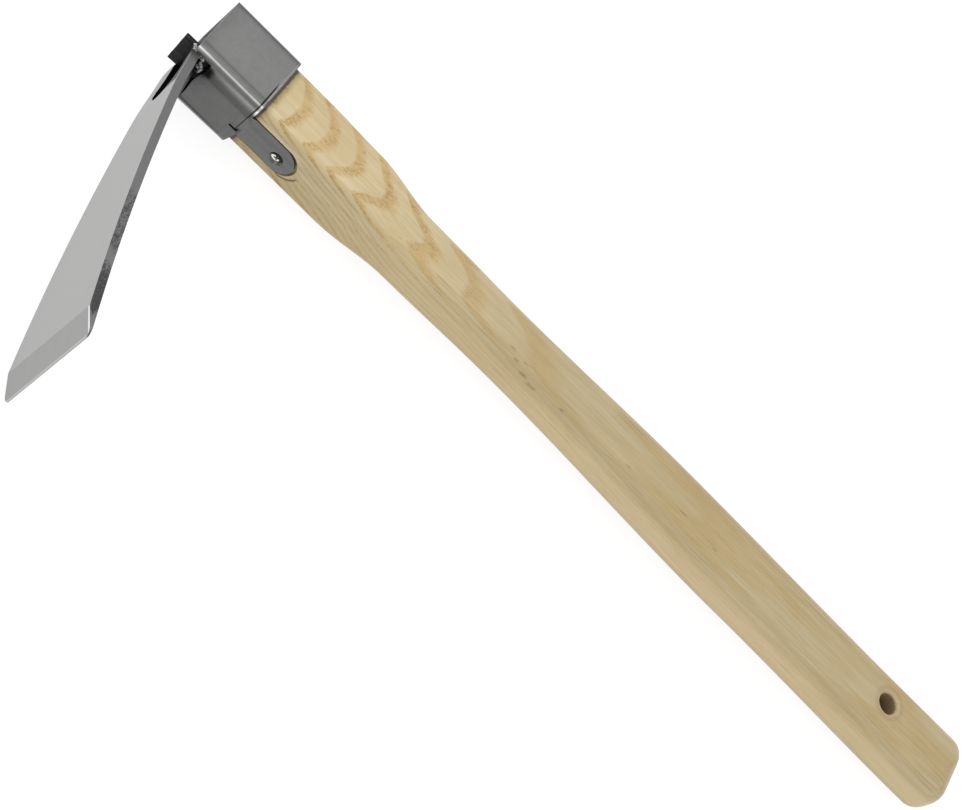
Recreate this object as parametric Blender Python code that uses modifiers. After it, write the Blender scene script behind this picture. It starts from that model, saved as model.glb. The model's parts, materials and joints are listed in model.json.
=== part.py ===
"""Garden hoe with a narrow grubbing blade, a bent sheet socket and a short wooden handle.

The tool is drawn in its own frame: +X runs along the handle from the socket's mouth to the
butt, -Y is the side that the blade reaches out to, and +Z is one of the handle's flat sides.
An empty then lays the whole tool down on the three points that it rests on.
Every length is in metres and every angle in radians.
"""
import math

import bmesh
import bpy
from mathutils import Matrix, Vector

TOOL_NAME = "garden_hoe"

# Clearances
SEAT_GAP = 0.0003
TENON_PLAY = 0.0003

# Socket, a box bent from one sheet
SOCKET_LENGTH = 0.035
SOCKET_DEPTH = 0.0344
SOCKET_WIDTH = 0.0336
SHEET = 0.002
BEND_RADIUS = 0.0041
BEND_STEPS = 6
NOTCH_LENGTH = 0.009
REAR_LEDGE = 0.0015

# Tongue, the strip of the same sheet that is screwed to the handle
TONGUE_WIDTH = 0.0150
TONGUE_REACH = 0.027
TONGUE_STEP = 0.0019
STEP_LENGTH = 0.003
RELIEF_LENGTH = 0.0044
RELIEF_WIDTH = 0.0011
TONGUE_SIDE_PLAY = 0.0012
TONGUE_END_PLAY = 0.0018

# Screw
SCREW_FROM_TIP = 0.0083
SCREW_HEAD_DIAMETER = 0.0056
SCREW_SHANK_DIAMETER = 0.0036
SCREW_LENGTH = 0.022
SCREW_POINT = 0.006
SCREW_DOME = 0.0006
DOME_STEPS = 3
SCREW_SINK = 0.0005
HEAD_CONE = 0.0012
RECESS_SPAN = 0.0034
RECESS_WIDTH = 0.0008
RECESS_DEPTH = 0.0014

# Blade
BLADE_LENGTH = 0.160
BLADE_THICKNESS = 0.0036
NECK_WIDTH = 0.0266
EDGE_WIDTH = 0.0730
SHOULDER_RADIUS = 0.008
BEVEL_LENGTH = 0.012
EDGE_LAND = 0.0005
NECK_LEAN = math.radians(10.3)
BLADE_CURL = math.radians(7.7)
NECK_FORWARD = 0.0029
BLADE_STEPS = 16

# Pressed groove in the neck
GROOVE_WIDTH = 0.011
GROOVE_DEPTH = 0.0030
GROOVE_LENGTH = 0.025

# Weld beads
BEAD_RADIUS = 0.0019
BEAD_BULGE = 0.0013

# Wedge
WEDGE_WIDTH = 0.0172
WEDGE_HEAD = 0.0027
WEDGE_TIP = 0.0012
WEDGE_LENGTH = 0.028
WEDGE_PROUD = 0.0062
WEDGE_OFFSET = 0.0110

# Handle
TOOL_LENGTH = 0.4547
TENON_RECESS = 0.0015
PLAIN_LENGTH = 0.055
EASE_LENGTH = 0.029
SHOULDER_LENGTH = 0.035
NARROWING_LENGTH = 0.056
BACK_SWELL_LENGTH = 0.090
BELLY_SWELL_LENGTH = 0.150
HEAD_STEPS = 3
SHOULDER_STEPS = 8
GRIP_STEPS = 16
HEAD_CORNER = 0.003
GRIP_CORNER = 0.009
GRIP_THICKNESS = 0.024
WAIST_BACK = 0.0139
WAIST_BELLY = 0.0161
NARROW_BACK = 0.0130
NARROW_BELLY = 0.0152
GRIP_BACK = 0.0147
GRIP_BELLY = 0.0204
BUTT_BACK = 0.0127
BUTT_BELLY = 0.0228
BUTT_ROUND = 0.009
BUTT_CROWN = 0.0012
HOLE_FROM_BUTT = 0.0484
HOLE_OFFSET = 0.0032
HOLE_DIAMETER = 0.0092
HOLE_RIM_DIAMETER = 0.0136
CORNER_STEPS = 5
CROWN_STEPS = 4
ROUND_SIDES = 32

# How the tool lies, found from its weight
WOOD_DENSITY = 680.0
STEEL_DENSITY = 7850.0
LARGEST_TURN = math.radians(60)

# Places that follow from the sizes above
SOCKET_BELLY = SOCKET_DEPTH / 2
INNER_BELLY = SOCKET_BELLY - SHEET
INNER_WIDTH = SOCKET_WIDTH - 2 * SHEET
TONGUE_TIP = SOCKET_LENGTH + TONGUE_REACH
TONGUE_FACE = SOCKET_BELLY - TONGUE_STEP
SCREW_PLACE = TONGUE_TIP - SCREW_FROM_TIP
NECK_TOP = WEDGE_OFFSET + SEAT_GAP
BLADE_START = NECK_TOP + BLADE_THICKNESS * math.sin(NECK_LEAN)
HEAD_HALF_DEPTH = INNER_BELLY - TENON_PLAY
HEAD_HALF_WIDTH = INNER_WIDTH / 2 - TENON_PLAY
HOLE_PLACE = TOOL_LENGTH - HOLE_FROM_BUTT
HEAD_LENGTH = PLAIN_LENGTH + EASE_LENGTH
WAIST_PLACE = HEAD_LENGTH + SHOULDER_LENGTH
NARROW_PLACE = WAIST_PLACE + NARROWING_LENGTH
ROUND_START = TOOL_LENGTH - BUTT_CROWN - BUTT_ROUND
SCREW_FACE = TONGUE_FACE - SCREW_SINK
BOOLEAN_REACH = 0.02


def clear_scene():
    """Remove what a new file holds."""
    for item in list(bpy.data.objects):
        bpy.data.objects.remove(item, do_unlink=True)


def new_collection(name):
    """Make a collection under the scene's own."""
    collection = bpy.data.collections.new(name)
    bpy.context.scene.collection.children.link(collection)
    return collection


def new_material(name, colour, roughness, metallic):
    """Make a plain surface of one colour."""
    material = bpy.data.materials.new(name)
    material.use_nodes = True
    shader = material.node_tree.nodes["Principled BSDF"]
    shader.inputs["Base Color"].default_value = (*colour, 1.0)
    shader.inputs["Roughness"].default_value = roughness
    shader.inputs["Metallic"].default_value = metallic
    return material


def face_outwards(mesh_builder):
    """Point every face of a closed shape outwards."""
    bmesh.ops.recalc_face_normals(mesh_builder, faces=mesh_builder.faces)
    if mesh_builder.calc_volume(signed=True) < 0.0:
        bmesh.ops.reverse_faces(mesh_builder, faces=mesh_builder.faces)


def new_piece(name, mesh_builder, collection, parent, material=None):
    """Turn a bmesh into a named object under the resting empty."""
    face_outwards(mesh_builder)
    mesh = bpy.data.meshes.new(name)
    mesh_builder.to_mesh(mesh)
    mesh_builder.free()
    piece = bpy.data.objects.new(name, mesh)
    collection.objects.link(piece)
    piece.parent = parent
    if material is not None:
        mesh.materials.append(material)
    return piece


def new_cutter(name, mesh_builder, tool):
    """Make an object that only cuts or joins, and is never built."""
    cutter = new_piece(name, mesh_builder, tool["cutters"], tool["rest"])
    cutter.hide_render = True
    cutter.display_type = "WIRE"
    return cutter


def combine(piece, other, operation):
    """Add an exact Boolean modifier."""
    modifier = piece.modifiers.new(other.name, "BOOLEAN")
    modifier.operation = operation
    modifier.solver = "EXACT"
    modifier.object = other
    return modifier


def round_edges(piece, width, segments, angle=math.radians(40)):
    """Break the sharp edges of a piece."""
    modifier = piece.modifiers.new("edges", "BEVEL")
    modifier.width = width
    modifier.segments = segments
    modifier.limit_method = "ANGLE"
    modifier.angle_limit = angle


def tool_point(along, belly, side):
    """Give a point from its place along the handle, towards the blade and to the side."""
    return Vector((along, -belly, side))


def box(low, high):
    """Make a box between two corners given as (along, belly, side)."""
    builder = bmesh.new()
    first = tool_point(*low)
    last = tool_point(*high)
    bmesh.ops.create_cube(builder, size=1.0)
    size = last - first
    spread = Matrix.Diagonal((abs(size.x), abs(size.y), abs(size.z), 1.0))
    builder.transform(Matrix.Translation((first + last) / 2) @ spread)
    return builder


def round_bar(start, end, start_radius, end_radius, sides=ROUND_SIDES):
    """Make a bar or a cone between two points."""
    builder = bmesh.new()
    axis = end - start
    bmesh.ops.create_cone(
        builder,
        cap_ends=True,
        segments=sides,
        radius1=start_radius,
        radius2=end_radius,
        depth=axis.length,
    )
    turn = axis.to_track_quat("Z", "Y").to_matrix().to_4x4()
    builder.transform(Matrix.Translation((start + end) / 2) @ turn)
    return builder


def turned(profile, steps):
    """Turn a profile of (radius, height) pairs about the vertical axis."""
    builder = bmesh.new()
    points = [builder.verts.new((radius, 0.0, height)) for radius, height in profile]
    edges = [builder.edges.new(pair) for pair in zip(points, points[1:])]
    bmesh.ops.spin(
        builder,
        geom=points + edges,
        axis=(0.0, 0.0, 1.0),
        cent=(0.0, 0.0, 0.0),
        angle=2.0 * math.pi,
        steps=steps,
        use_merge=True,
    )
    bmesh.ops.remove_doubles(builder, verts=builder.verts, dist=0.00001)
    return builder


def prism(outline, across):
    """Push a flat outline of points along a vector into a solid."""
    builder = bmesh.new()
    face = builder.faces.new([builder.verts.new(point) for point in outline])
    pushed = bmesh.ops.extrude_face_region(builder, geom=[face], use_keep_orig=True)
    moved = [item for item in pushed["geom"] if isinstance(item, bmesh.types.BMVert)]
    bmesh.ops.translate(builder, verts=moved, vec=across)
    return builder


def loft(rings):
    """Join closed rings of equal counts into one capped solid."""
    builder = bmesh.new()
    rows = [[builder.verts.new(point) for point in ring] for ring in rings]
    for row, following in zip(rows, rows[1:]):
        for index in range(len(row)):
            after = (index + 1) % len(row)
            builder.faces.new((row[index], row[after], following[after], following[index]))
    builder.faces.new(rows[0])
    builder.faces.new(rows[-1])
    return builder


def rounded_section(along, back, belly, half_width, corner, steps=CORNER_STEPS):
    """Give the points of a rounded rectangle across the handle's axis."""
    centres = (
        (belly - corner, half_width - corner, 0.0),
        (-back + corner, half_width - corner, 0.5 * math.pi),
        (-back + corner, -half_width + corner, math.pi),
        (belly - corner, -half_width + corner, 1.5 * math.pi),
    )
    points = []
    for centre_belly, centre_side, first_angle in centres:
        for step in range(steps + 1):
            angle = first_angle + 0.5 * math.pi * step / steps
            points.append(
                tool_point(
                    along,
                    centre_belly + corner * math.cos(angle),
                    centre_side + corner * math.sin(angle),
                )
            )
    return points


def socket_envelope(inset, start, end):
    """Make a solid rounded bar, the socket's outside drawn in by an inset."""
    half_depth = SOCKET_DEPTH / 2 - inset
    half_width = SOCKET_WIDTH / 2 - inset
    corner = BEND_RADIUS - inset
    outline = rounded_section(start, half_depth, half_depth, half_width, corner, BEND_STEPS)
    return prism(outline, tool_point(end - start, 0.0, 0.0))


def round_ended_block(start, end, half_width, low, high):
    """Make a block with one round end, as a tongue's outline or the recess for it."""
    outline = [(start, -half_width)]
    for step in range(ROUND_SIDES // 2 + 1):
        angle = -0.5 * math.pi + math.pi * step / (ROUND_SIDES // 2)
        centre = end - half_width
        outline.append((centre + half_width * math.cos(angle), half_width * math.sin(angle)))
    outline.append((start, half_width))
    base = [tool_point(along, low, side) for along, side in outline]
    return prism(base, tool_point(0.0, high - low, 0.0))


def tongue_profile():
    """Make the tongue's stepped profile, wider than the tongue."""
    step_start = SOCKET_LENGTH - REAR_LEDGE
    step_end = step_start + STEP_LENGTH
    end = TONGUE_TIP + SHEET
    overlap = SOCKET_LENGTH - RELIEF_LENGTH - SHEET
    outline = (
        (overlap, SOCKET_BELLY),
        (step_start, SOCKET_BELLY),
        (step_end, TONGUE_FACE),
        (end, TONGUE_FACE),
        (end, TONGUE_FACE - SHEET),
        (step_end - REAR_LEDGE / 2, TONGUE_FACE - SHEET),
        (step_start - REAR_LEDGE / 2, INNER_BELLY),
        (overlap, INNER_BELLY),
    )
    near_side = [tool_point(along, belly, -TONGUE_WIDTH) for along, belly in outline]
    return prism(near_side, tool_point(0.0, 0.0, 2 * TONGUE_WIDTH))


def build_socket(tool):
    """Make the box socket with its notch, stepped tongue and screw hole."""
    socket = new_piece(
        "socket",
        socket_envelope(0.0, 0.0, SOCKET_LENGTH),
        tool["parts"],
        tool["rest"],
        tool["stainless"],
    )
    bore = new_cutter(
        "socket_bore", socket_envelope(SHEET, -SHEET, SOCKET_LENGTH + SHEET), tool
    )
    combine(socket, bore, "DIFFERENCE")

    half_width = notch_half_width()
    notch = box(
        (-SHEET, SOCKET_BELLY - BEND_RADIUS, -half_width),
        (NOTCH_LENGTH, SOCKET_BELLY + SHEET, half_width),
    )
    combine(socket, new_cutter("socket_notch", notch, tool), "DIFFERENCE")

    half_gap = TONGUE_WIDTH / 2 + RELIEF_WIDTH
    relief = box(
        (SOCKET_LENGTH - RELIEF_LENGTH, INNER_BELLY - SHEET, -half_gap),
        (SOCKET_LENGTH + SHEET, SOCKET_BELLY + SHEET, half_gap),
    )
    combine(socket, new_cutter("tongue_relief", relief, tool), "DIFFERENCE")

    outline = round_ended_block(
        SOCKET_LENGTH - RELIEF_LENGTH - 2 * SHEET,
        TONGUE_TIP,
        TONGUE_WIDTH / 2,
        INNER_BELLY - BOOLEAN_REACH,
        SOCKET_BELLY + BOOLEAN_REACH,
    )
    tongue = new_cutter("tongue", tongue_profile(), tool)
    combine(tongue, new_cutter("tongue_outline", outline, tool), "INTERSECT")
    combine(socket, tongue, "UNION")

    combine(socket, new_cutter("screw_hole", countersunk_hole(), tool), "DIFFERENCE")
    return socket


def countersunk_hole():
    """Make the turned shape of the screw's hole, whose cone runs on past the tongue's face."""
    shank = SCREW_SHANK_DIAMETER / 2 + SEAT_GAP
    slope = (SCREW_HEAD_DIAMETER - SCREW_SHANK_DIAMETER) / 2 / HEAD_CONE
    mouth = shank + slope * (HEAD_CONE + SCREW_SINK + SHEET)
    profile = (
        (0.0, SCREW_SINK + SHEET),
        (mouth, SCREW_SINK + SHEET),
        (shank, -HEAD_CONE),
        (shank, -HEAD_CONE - 2 * SHEET),
        (0.0, -HEAD_CONE - 2 * SHEET),
    )
    builder = turned(profile, ROUND_SIDES)
    builder.transform(screw_seat())
    return builder


def screw_seat():
    """Give the transform that stands a turned shape on the tongue at the screw's place."""
    upright = Matrix.Rotation(0.5 * math.pi, 4, "X")
    return Matrix.Translation(tool_point(SCREW_PLACE, SCREW_FACE, 0.0)) @ upright


def blade_half_width(down):
    """Give half the blade's width at a distance down from its top."""
    straight = NECK_WIDTH / 2 + (EDGE_WIDTH - NECK_WIDTH) / 2 * down / BLADE_LENGTH
    if down >= SHOULDER_RADIUS:
        return straight
    rise = SHOULDER_RADIUS - down
    return straight - SHOULDER_RADIUS + math.sqrt(max(SHOULDER_RADIUS**2 - rise**2, 0.0))


def notch_half_width():
    """Give half the width of the socket's notch, which clears the neck that rises into it."""
    neck_inside = (SOCKET_BELLY - NECK_TOP) / math.cos(NECK_LEAN)
    return blade_half_width(neck_inside) + SEAT_GAP


def blade_place(down, inward):
    """Give the point at a distance down the blade's bow and inward from its outer face."""
    lean = NECK_LEAN + BLADE_CURL * down / BLADE_LENGTH
    radius = BLADE_LENGTH / BLADE_CURL
    along = radius * (math.cos(NECK_LEAN) - math.cos(lean)) - NECK_FORWARD
    belly = radius * (math.sin(lean) - math.sin(NECK_LEAN)) + BLADE_START
    return along + inward * math.cos(lean), belly - inward * math.sin(lean)


def blade_rows():
    """Give the distances down the blade where its section is drawn."""
    corner_rows = [
        SHOULDER_RADIUS * (1.0 - math.cos(0.5 * math.pi * step / CORNER_STEPS))
        for step in range(CORNER_STEPS + 1)
    ]
    bevel_start = BLADE_LENGTH - BEVEL_LENGTH
    plain = bevel_start - SHOULDER_RADIUS
    rows = [SHOULDER_RADIUS + plain * step / BLADE_STEPS for step in range(1, BLADE_STEPS + 1)]
    return corner_rows + rows + [BLADE_LENGTH]


def blade_solid(grow=0.0):
    """Make the tapering, slightly bowed plate with its ground cutting edge."""
    rings = []
    for down in blade_rows():
        width = blade_half_width(down) + grow
        outer = -grow
        if down > BLADE_LENGTH - BEVEL_LENGTH:
            ground = (down - BLADE_LENGTH + BEVEL_LENGTH) / BEVEL_LENGTH
            outer += (BLADE_THICKNESS - EDGE_LAND) * ground
        reach = down - grow if down == 0.0 else down
        corners = (
            (outer, width),
            (BLADE_THICKNESS + grow, width),
            (BLADE_THICKNESS + grow, -width),
            (outer, -width),
        )
        rings.append([tool_point(*blade_place(reach, inward), side) for inward, side in corners])
    return loft(rings)


def groove_tool(name, grow, top, tool):
    """Make the groove's bar and its round end into one closed cutter."""
    half = GROOVE_WIDTH / 2
    radius = (half**2 + GROOVE_DEPTH**2) / (2 * GROOVE_DEPTH)
    standing_off = GROOVE_DEPTH - radius
    start = tool_point(*blade_place(top, standing_off), 0.0)
    end = tool_point(*blade_place(GROOVE_LENGTH - half, standing_off), 0.0)
    bar = new_cutter(name, round_bar(start, end, radius + grow, radius + grow), tool)
    ball = bmesh.new()
    bmesh.ops.create_uvsphere(
        ball, u_segments=ROUND_SIDES, v_segments=ROUND_SIDES // 2, radius=radius + grow
    )
    ball.transform(Matrix.Translation(end))
    combine(bar, new_cutter(name + "_end", ball, tool), "UNION")
    return bar


def build_blade(tool):
    """Make the blade with the stiffening groove pressed into its neck."""
    blade = new_piece("blade", blade_solid(), tool["parts"], tool["rest"], tool["blade_steel"])
    rib = groove_tool("neck_rib", BLADE_THICKNESS, 0.0, tool)
    above = box(
        (-BOOLEAN_REACH, NECK_TOP - 2 * BOOLEAN_REACH, -NECK_WIDTH),
        (BOOLEAN_REACH, NECK_TOP, NECK_WIDTH),
    )
    combine(rib, new_cutter("rib_top", above, tool), "DIFFERENCE")
    combine(rib, new_cutter("rib_front", blade_front(), tool), "DIFFERENCE")
    combine(blade, rib, "UNION")
    groove = groove_tool("neck_groove", 0.0, -BLADE_THICKNESS, tool)
    combine(blade, groove, "DIFFERENCE")
    return blade


def blade_front():
    """Make the block in front of the neck that the rib doesn't reach into."""
    corners = (
        (-SHOULDER_RADIUS, -BOOLEAN_REACH),
        (-SHOULDER_RADIUS, BLADE_THICKNESS / 2),
        (2 * GROOVE_LENGTH, BLADE_THICKNESS / 2),
        (2 * GROOVE_LENGTH, -BOOLEAN_REACH),
    )
    near_side = [tool_point(*blade_place(down, inward), -NECK_WIDTH) for down, inward in corners]
    return prism(near_side, tool_point(0.0, 0.0, 2 * NECK_WIDTH))


def weld_path(side):
    """Give the points that a weld bead follows round the neck's shoulder."""
    half = NECK_WIDTH / 2
    outside = SOCKET_BELLY + BEAD_BULGE
    return [
        tool_point(-BEAD_RADIUS, outside - BEAD_RADIUS, side * (half + BEAD_RADIUS / 2)),
        tool_point(BLADE_THICKNESS / 2, outside, side * (half + BEAD_RADIUS / 2)),
        tool_point(BLADE_THICKNESS + BEAD_BULGE, outside, side * half),
        tool_point(NOTCH_LENGTH - BEAD_RADIUS, outside - BEAD_BULGE, side * (half - BEAD_RADIUS)),
    ]


def build_weld(name, side, tool):
    """Make one bead that joins a shoulder of the neck to the socket's notch."""
    curve = bpy.data.curves.new(name, "CURVE")
    curve.dimensions = "3D"
    curve.bevel_depth = BEAD_RADIUS
    curve.bevel_resolution = 2
    curve.use_fill_caps = True
    route = weld_path(side)
    spline = curve.splines.new("POLY")
    spline.points.add(len(route) - 1)
    for point, place in zip(spline.points, route):
        point.co = (*place, 1.0)
    guide = bpy.data.objects.new(name + "_guide", curve)
    tool["cutters"].objects.link(guide)
    guide.parent = tool["rest"]
    bpy.context.view_layer.update()
    depsgraph = bpy.context.evaluated_depsgraph_get()
    mesh = bpy.data.meshes.new_from_object(guide.evaluated_get(depsgraph))
    builder = bmesh.new()
    builder.from_mesh(mesh)
    bmesh.ops.remove_doubles(builder, verts=builder.verts, dist=0.00001)
    bpy.data.objects.remove(guide, do_unlink=True)
    bpy.data.meshes.remove(mesh)
    bead = new_piece(name, builder, tool["parts"], tool["rest"], tool["weld_metal"])
    combine(bead, tool["blade_clearance"], "DIFFERENCE")
    combine(bead, tool["socket_clearance"], "DIFFERENCE")
    return bead


def build_clearances(tool):
    """Make grown copies of the blade and the socket that the beads stop short of."""
    tool["blade_clearance"] = new_cutter("blade_clearance", blade_solid(SEAT_GAP), tool)
    shell = new_cutter(
        "socket_clearance", socket_envelope(-SEAT_GAP, -SEAT_GAP, SOCKET_LENGTH), tool
    )
    bore = socket_envelope(SHEET + SEAT_GAP, -SHEET, SOCKET_LENGTH + SHEET)
    combine(shell, new_cutter("clearance_bore", bore, tool), "DIFFERENCE")
    half_width = notch_half_width() - SEAT_GAP
    notch = box(
        (-SHEET, SOCKET_BELLY - BEND_RADIUS, -half_width),
        (NOTCH_LENGTH - SEAT_GAP, SOCKET_BELLY + SHEET, half_width),
    )
    combine(shell, new_cutter("clearance_notch", notch, tool), "DIFFERENCE")
    tool["socket_clearance"] = shell


def wedge_solid(gap, half_width):
    """Make the tapering plate whose lower face is flat, opened by a gap."""
    tip = WEDGE_LENGTH - WEDGE_PROUD
    outline = (
        (-WEDGE_PROUD - gap, WEDGE_OFFSET + gap),
        (tip + gap, WEDGE_OFFSET + gap),
        (tip + gap, WEDGE_OFFSET - WEDGE_TIP - gap),
        (-WEDGE_PROUD - gap, WEDGE_OFFSET - WEDGE_HEAD - gap),
    )
    near_side = [tool_point(along, belly, -half_width) for along, belly in outline]
    return prism(near_side, tool_point(0.0, 0.0, 2 * half_width))


def build_wedge(tool):
    """Make the steel wedge that is driven into the tenon."""
    wedge = new_piece(
        "wedge", wedge_solid(0.0, WEDGE_WIDTH / 2), tool["parts"], tool["rest"], tool["black_steel"]
    )
    round_edges(wedge, 0.0003, 1)
    return wedge


def smooth_blend(low, high, share):
    """Ease from one value to another."""
    share = min(max(share, 0.0), 1.0)
    return low + (high - low) * share * share * (3.0 - 2.0 * share)


def handle_section(along):
    """Give the back, belly, half width and corner radius at a place along the handle."""
    ease = (along - PLAIN_LENGTH) / EASE_LENGTH
    shoulder = (along - HEAD_LENGTH) / SHOULDER_LENGTH
    narrowing = (along - WAIST_PLACE) / NARROWING_LENGTH
    full_back = NARROW_PLACE + BACK_SWELL_LENGTH
    full_belly = NARROW_PLACE + BELLY_SWELL_LENGTH
    back = smooth_blend(HEAD_HALF_DEPTH, WAIST_BACK, ease)
    belly = smooth_blend(HEAD_HALF_DEPTH, WAIST_BELLY, shoulder)
    if narrowing > 0.0:
        back = smooth_blend(WAIST_BACK, NARROW_BACK, narrowing)
        belly = smooth_blend(WAIST_BELLY, NARROW_BELLY, narrowing)
    if narrowing > 1.0:
        back = smooth_blend(NARROW_BACK, GRIP_BACK, (along - NARROW_PLACE) / BACK_SWELL_LENGTH)
        belly = smooth_blend(NARROW_BELLY, GRIP_BELLY, (along - NARROW_PLACE) / BELLY_SWELL_LENGTH)
        back = smooth_blend(back, BUTT_BACK, (along - full_back) / (HOLE_PLACE - full_back))
        belly = smooth_blend(belly, BUTT_BELLY, (along - full_belly) / (ROUND_START - full_belly))
    half_width = smooth_blend(HEAD_HALF_WIDTH, GRIP_THICKNESS / 2, shoulder)
    corner = smooth_blend(HEAD_CORNER, GRIP_CORNER, shoulder)
    return back, belly, half_width, corner


def evenly(start, length, steps):
    """Give the places that split a length into even steps, without its far end."""
    return [start + length * step / steps for step in range(steps)]


def handle_rings():
    """Give the handle's sections from the tenon to the crowned butt."""
    places = [TENON_RECESS]
    places += evenly(PLAIN_LENGTH, EASE_LENGTH, HEAD_STEPS)
    places += evenly(HEAD_LENGTH, SHOULDER_LENGTH, SHOULDER_STEPS)
    places += evenly(WAIST_PLACE, ROUND_START - WAIST_PLACE, GRIP_STEPS)
    rings = [rounded_section(along, *handle_section(along)) for along in places]
    back, belly, half_width, corner = handle_section(ROUND_START)
    for step in range(CORNER_STEPS + 1):
        angle = 0.5 * math.pi * step / CORNER_STEPS
        inset = BUTT_ROUND * (1.0 - math.cos(angle))
        along = ROUND_START + BUTT_ROUND * math.sin(angle)
        drawn_in = 1.0 - inset / half_width
        section = (back - inset, belly - inset, half_width - inset, corner * drawn_in)
        rings.append(rounded_section(along, *section))
    middle = (belly - back) / 2
    half_depth = (belly + back) / 2 - BUTT_ROUND
    for step in range(1, CROWN_STEPS):
        share = 1.0 - step / CROWN_STEPS
        along = TOOL_LENGTH - BUTT_CROWN * share**2
        reach = half_depth * share
        side = (half_width - BUTT_ROUND) * share
        edge = corner * (1.0 - BUTT_ROUND / half_width) * share
        rings.append(rounded_section(along, reach - middle, reach + middle, side, edge))
    return rings


def build_handle(tool):
    """Make the wooden handle with its tenon, routed recess, pilot and hang hole."""
    handle = new_piece("handle", loft(handle_rings()), tool["parts"], tool["rest"], tool["ash"])

    rebate = box(
        (-SHEET, WEDGE_OFFSET - WEDGE_TIP / 2, -SOCKET_WIDTH),
        (NOTCH_LENGTH + SEAT_GAP, SOCKET_DEPTH, SOCKET_WIDTH),
    )
    combine(handle, new_cutter("neck_rebate", rebate, tool), "DIFFERENCE")
    kerf = new_cutter("tenon_kerf", wedge_solid(SEAT_GAP, SOCKET_WIDTH), tool)
    combine(handle, kerf, "DIFFERENCE")

    recess = round_ended_block(
        SOCKET_LENGTH - RELIEF_LENGTH,
        TONGUE_TIP + TONGUE_END_PLAY,
        TONGUE_WIDTH / 2 + TONGUE_SIDE_PLAY,
        TONGUE_FACE - SHEET - SEAT_GAP,
        SOCKET_DEPTH,
    )
    combine(handle, new_cutter("tongue_recess", recess, tool), "DIFFERENCE")

    pilot = round_bar(
        tool_point(SCREW_PLACE, SCREW_FACE - SCREW_LENGTH - SEAT_GAP, 0.0),
        tool_point(SCREW_PLACE, SOCKET_DEPTH, 0.0),
        SCREW_SHANK_DIAMETER / 2 + SEAT_GAP,
        SCREW_SHANK_DIAMETER / 2 + SEAT_GAP,
    )
    combine(handle, new_cutter("pilot_hole", pilot, tool), "DIFFERENCE")

    combine(handle, new_cutter("hang_hole", hang_hole_bar(), tool), "DIFFERENCE")
    return handle


def hang_hole_bar():
    """Make the turned bar that cuts the hang hole and both of its flared rims."""
    face = GRIP_THICKNESS / 2
    bore = HOLE_DIAMETER / 2
    flare = HOLE_RIM_DIAMETER / 2 - bore
    profile = (
        (0.0, face + flare),
        (bore + 2 * flare, face + flare),
        (bore, face - flare),
        (bore, flare - face),
        (bore + 2 * flare, -face - flare),
        (0.0, -face - flare),
    )
    builder = turned(profile, ROUND_SIDES)
    builder.transform(Matrix.Translation(tool_point(HOLE_PLACE, HOLE_OFFSET, 0.0)))
    return builder


def build_screw(tool):
    """Make the countersunk screw that holds the tongue to the handle."""
    head = SCREW_HEAD_DIAMETER / 2
    shank = SCREW_SHANK_DIAMETER / 2
    profile = [(0.0, SCREW_DOME)]
    for step in range(1, DOME_STEPS + 1):
        angle = 0.5 * math.pi * step / DOME_STEPS
        profile.append((head * math.sin(angle), SCREW_DOME * math.cos(angle)))
    profile += [
        (shank, -HEAD_CONE),
        (shank, SCREW_POINT - SCREW_LENGTH),
        (0.0, -SCREW_LENGTH),
    ]
    builder = turned(profile, ROUND_SIDES // 2)
    builder.transform(screw_seat())
    screw = new_piece("tongue_screw", builder, tool["parts"], tool["rest"], tool["nickel"])
    for name, span, width in (
        ("recess_lengthwise", RECESS_SPAN, RECESS_WIDTH),
        ("recess_crosswise", RECESS_WIDTH, RECESS_SPAN),
    ):
        slot = box(
            (SCREW_PLACE - span / 2, SCREW_FACE - RECESS_DEPTH + SCREW_DOME, -width / 2),
            (SCREW_PLACE + span / 2, TONGUE_FACE + SHEET, width / 2),
        )
        combine(screw, new_cutter(name, slot, tool), "DIFFERENCE")
    return screw


def evaluated_mesh(piece):
    """Give a piece's points, volume and centre in the tool's own frame."""
    depsgraph = bpy.context.evaluated_depsgraph_get()
    shown = piece.evaluated_get(depsgraph)
    builder = bmesh.new()
    builder.from_mesh(shown.to_mesh())
    bmesh.ops.triangulate(builder, faces=builder.faces)
    volume = 0.0
    moment = Vector()
    for face in builder.faces:
        first, second, third = (vertex.co for vertex in face.verts)
        share = first.dot(second.cross(third)) / 6.0
        volume += share
        moment += share * (first + second + third) / 4.0
    points = [vertex.co.copy() for vertex in builder.verts]
    builder.free()
    shown.to_mesh_clear()
    return points, volume, moment / volume


def lay_down(pieces, rest):
    """Turn the resting empty so that the tool lies as its weight leaves it."""
    bpy.context.view_layer.update()
    every_point = []
    weight = 0.0
    balance = Vector()
    for piece, density in pieces:
        points, volume, centre = evaluated_mesh(piece)
        every_point += points
        weight += volume * density
        balance += volume * density * centre
    balance /= weight

    hull = bmesh.new()
    for point in every_point:
        hull.verts.new(point)
    bmesh.ops.convex_hull(hull, input=hull.verts)
    down = Vector((0.0, 0.0, -1.0))
    facing = [face for face in hull.faces if face.normal.angle(down) < LARGEST_TURN]
    resting = min(facing, key=lambda face: spread_from(face, balance))
    turn = resting.normal.rotation_difference(down)
    hull.free()

    lying = [turn @ point for point in every_point]
    low = Vector([min(point[axis] for point in lying) for axis in range(3)])
    high = Vector([max(point[axis] for point in lying) for axis in range(3)])
    rest.rotation_mode = "QUATERNION"
    rest.rotation_quaternion = turn
    rest.location = (-(low.x + high.x) / 2, -(low.y + high.y) / 2, -low.z)


def spread_from(face, balance):
    """Tell how far the weight's foot falls outside a face of the hull, 0 when inside."""
    foot = balance - face.normal * (balance - face.verts[0].co).dot(face.normal)
    outside = 0.0
    for loop in face.loops:
        edge = loop.link_loop_next.vert.co - loop.vert.co
        outward = edge.cross(face.normal).normalized()
        outside = max(outside, outward.dot(foot - loop.vert.co))
    return outside


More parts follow.
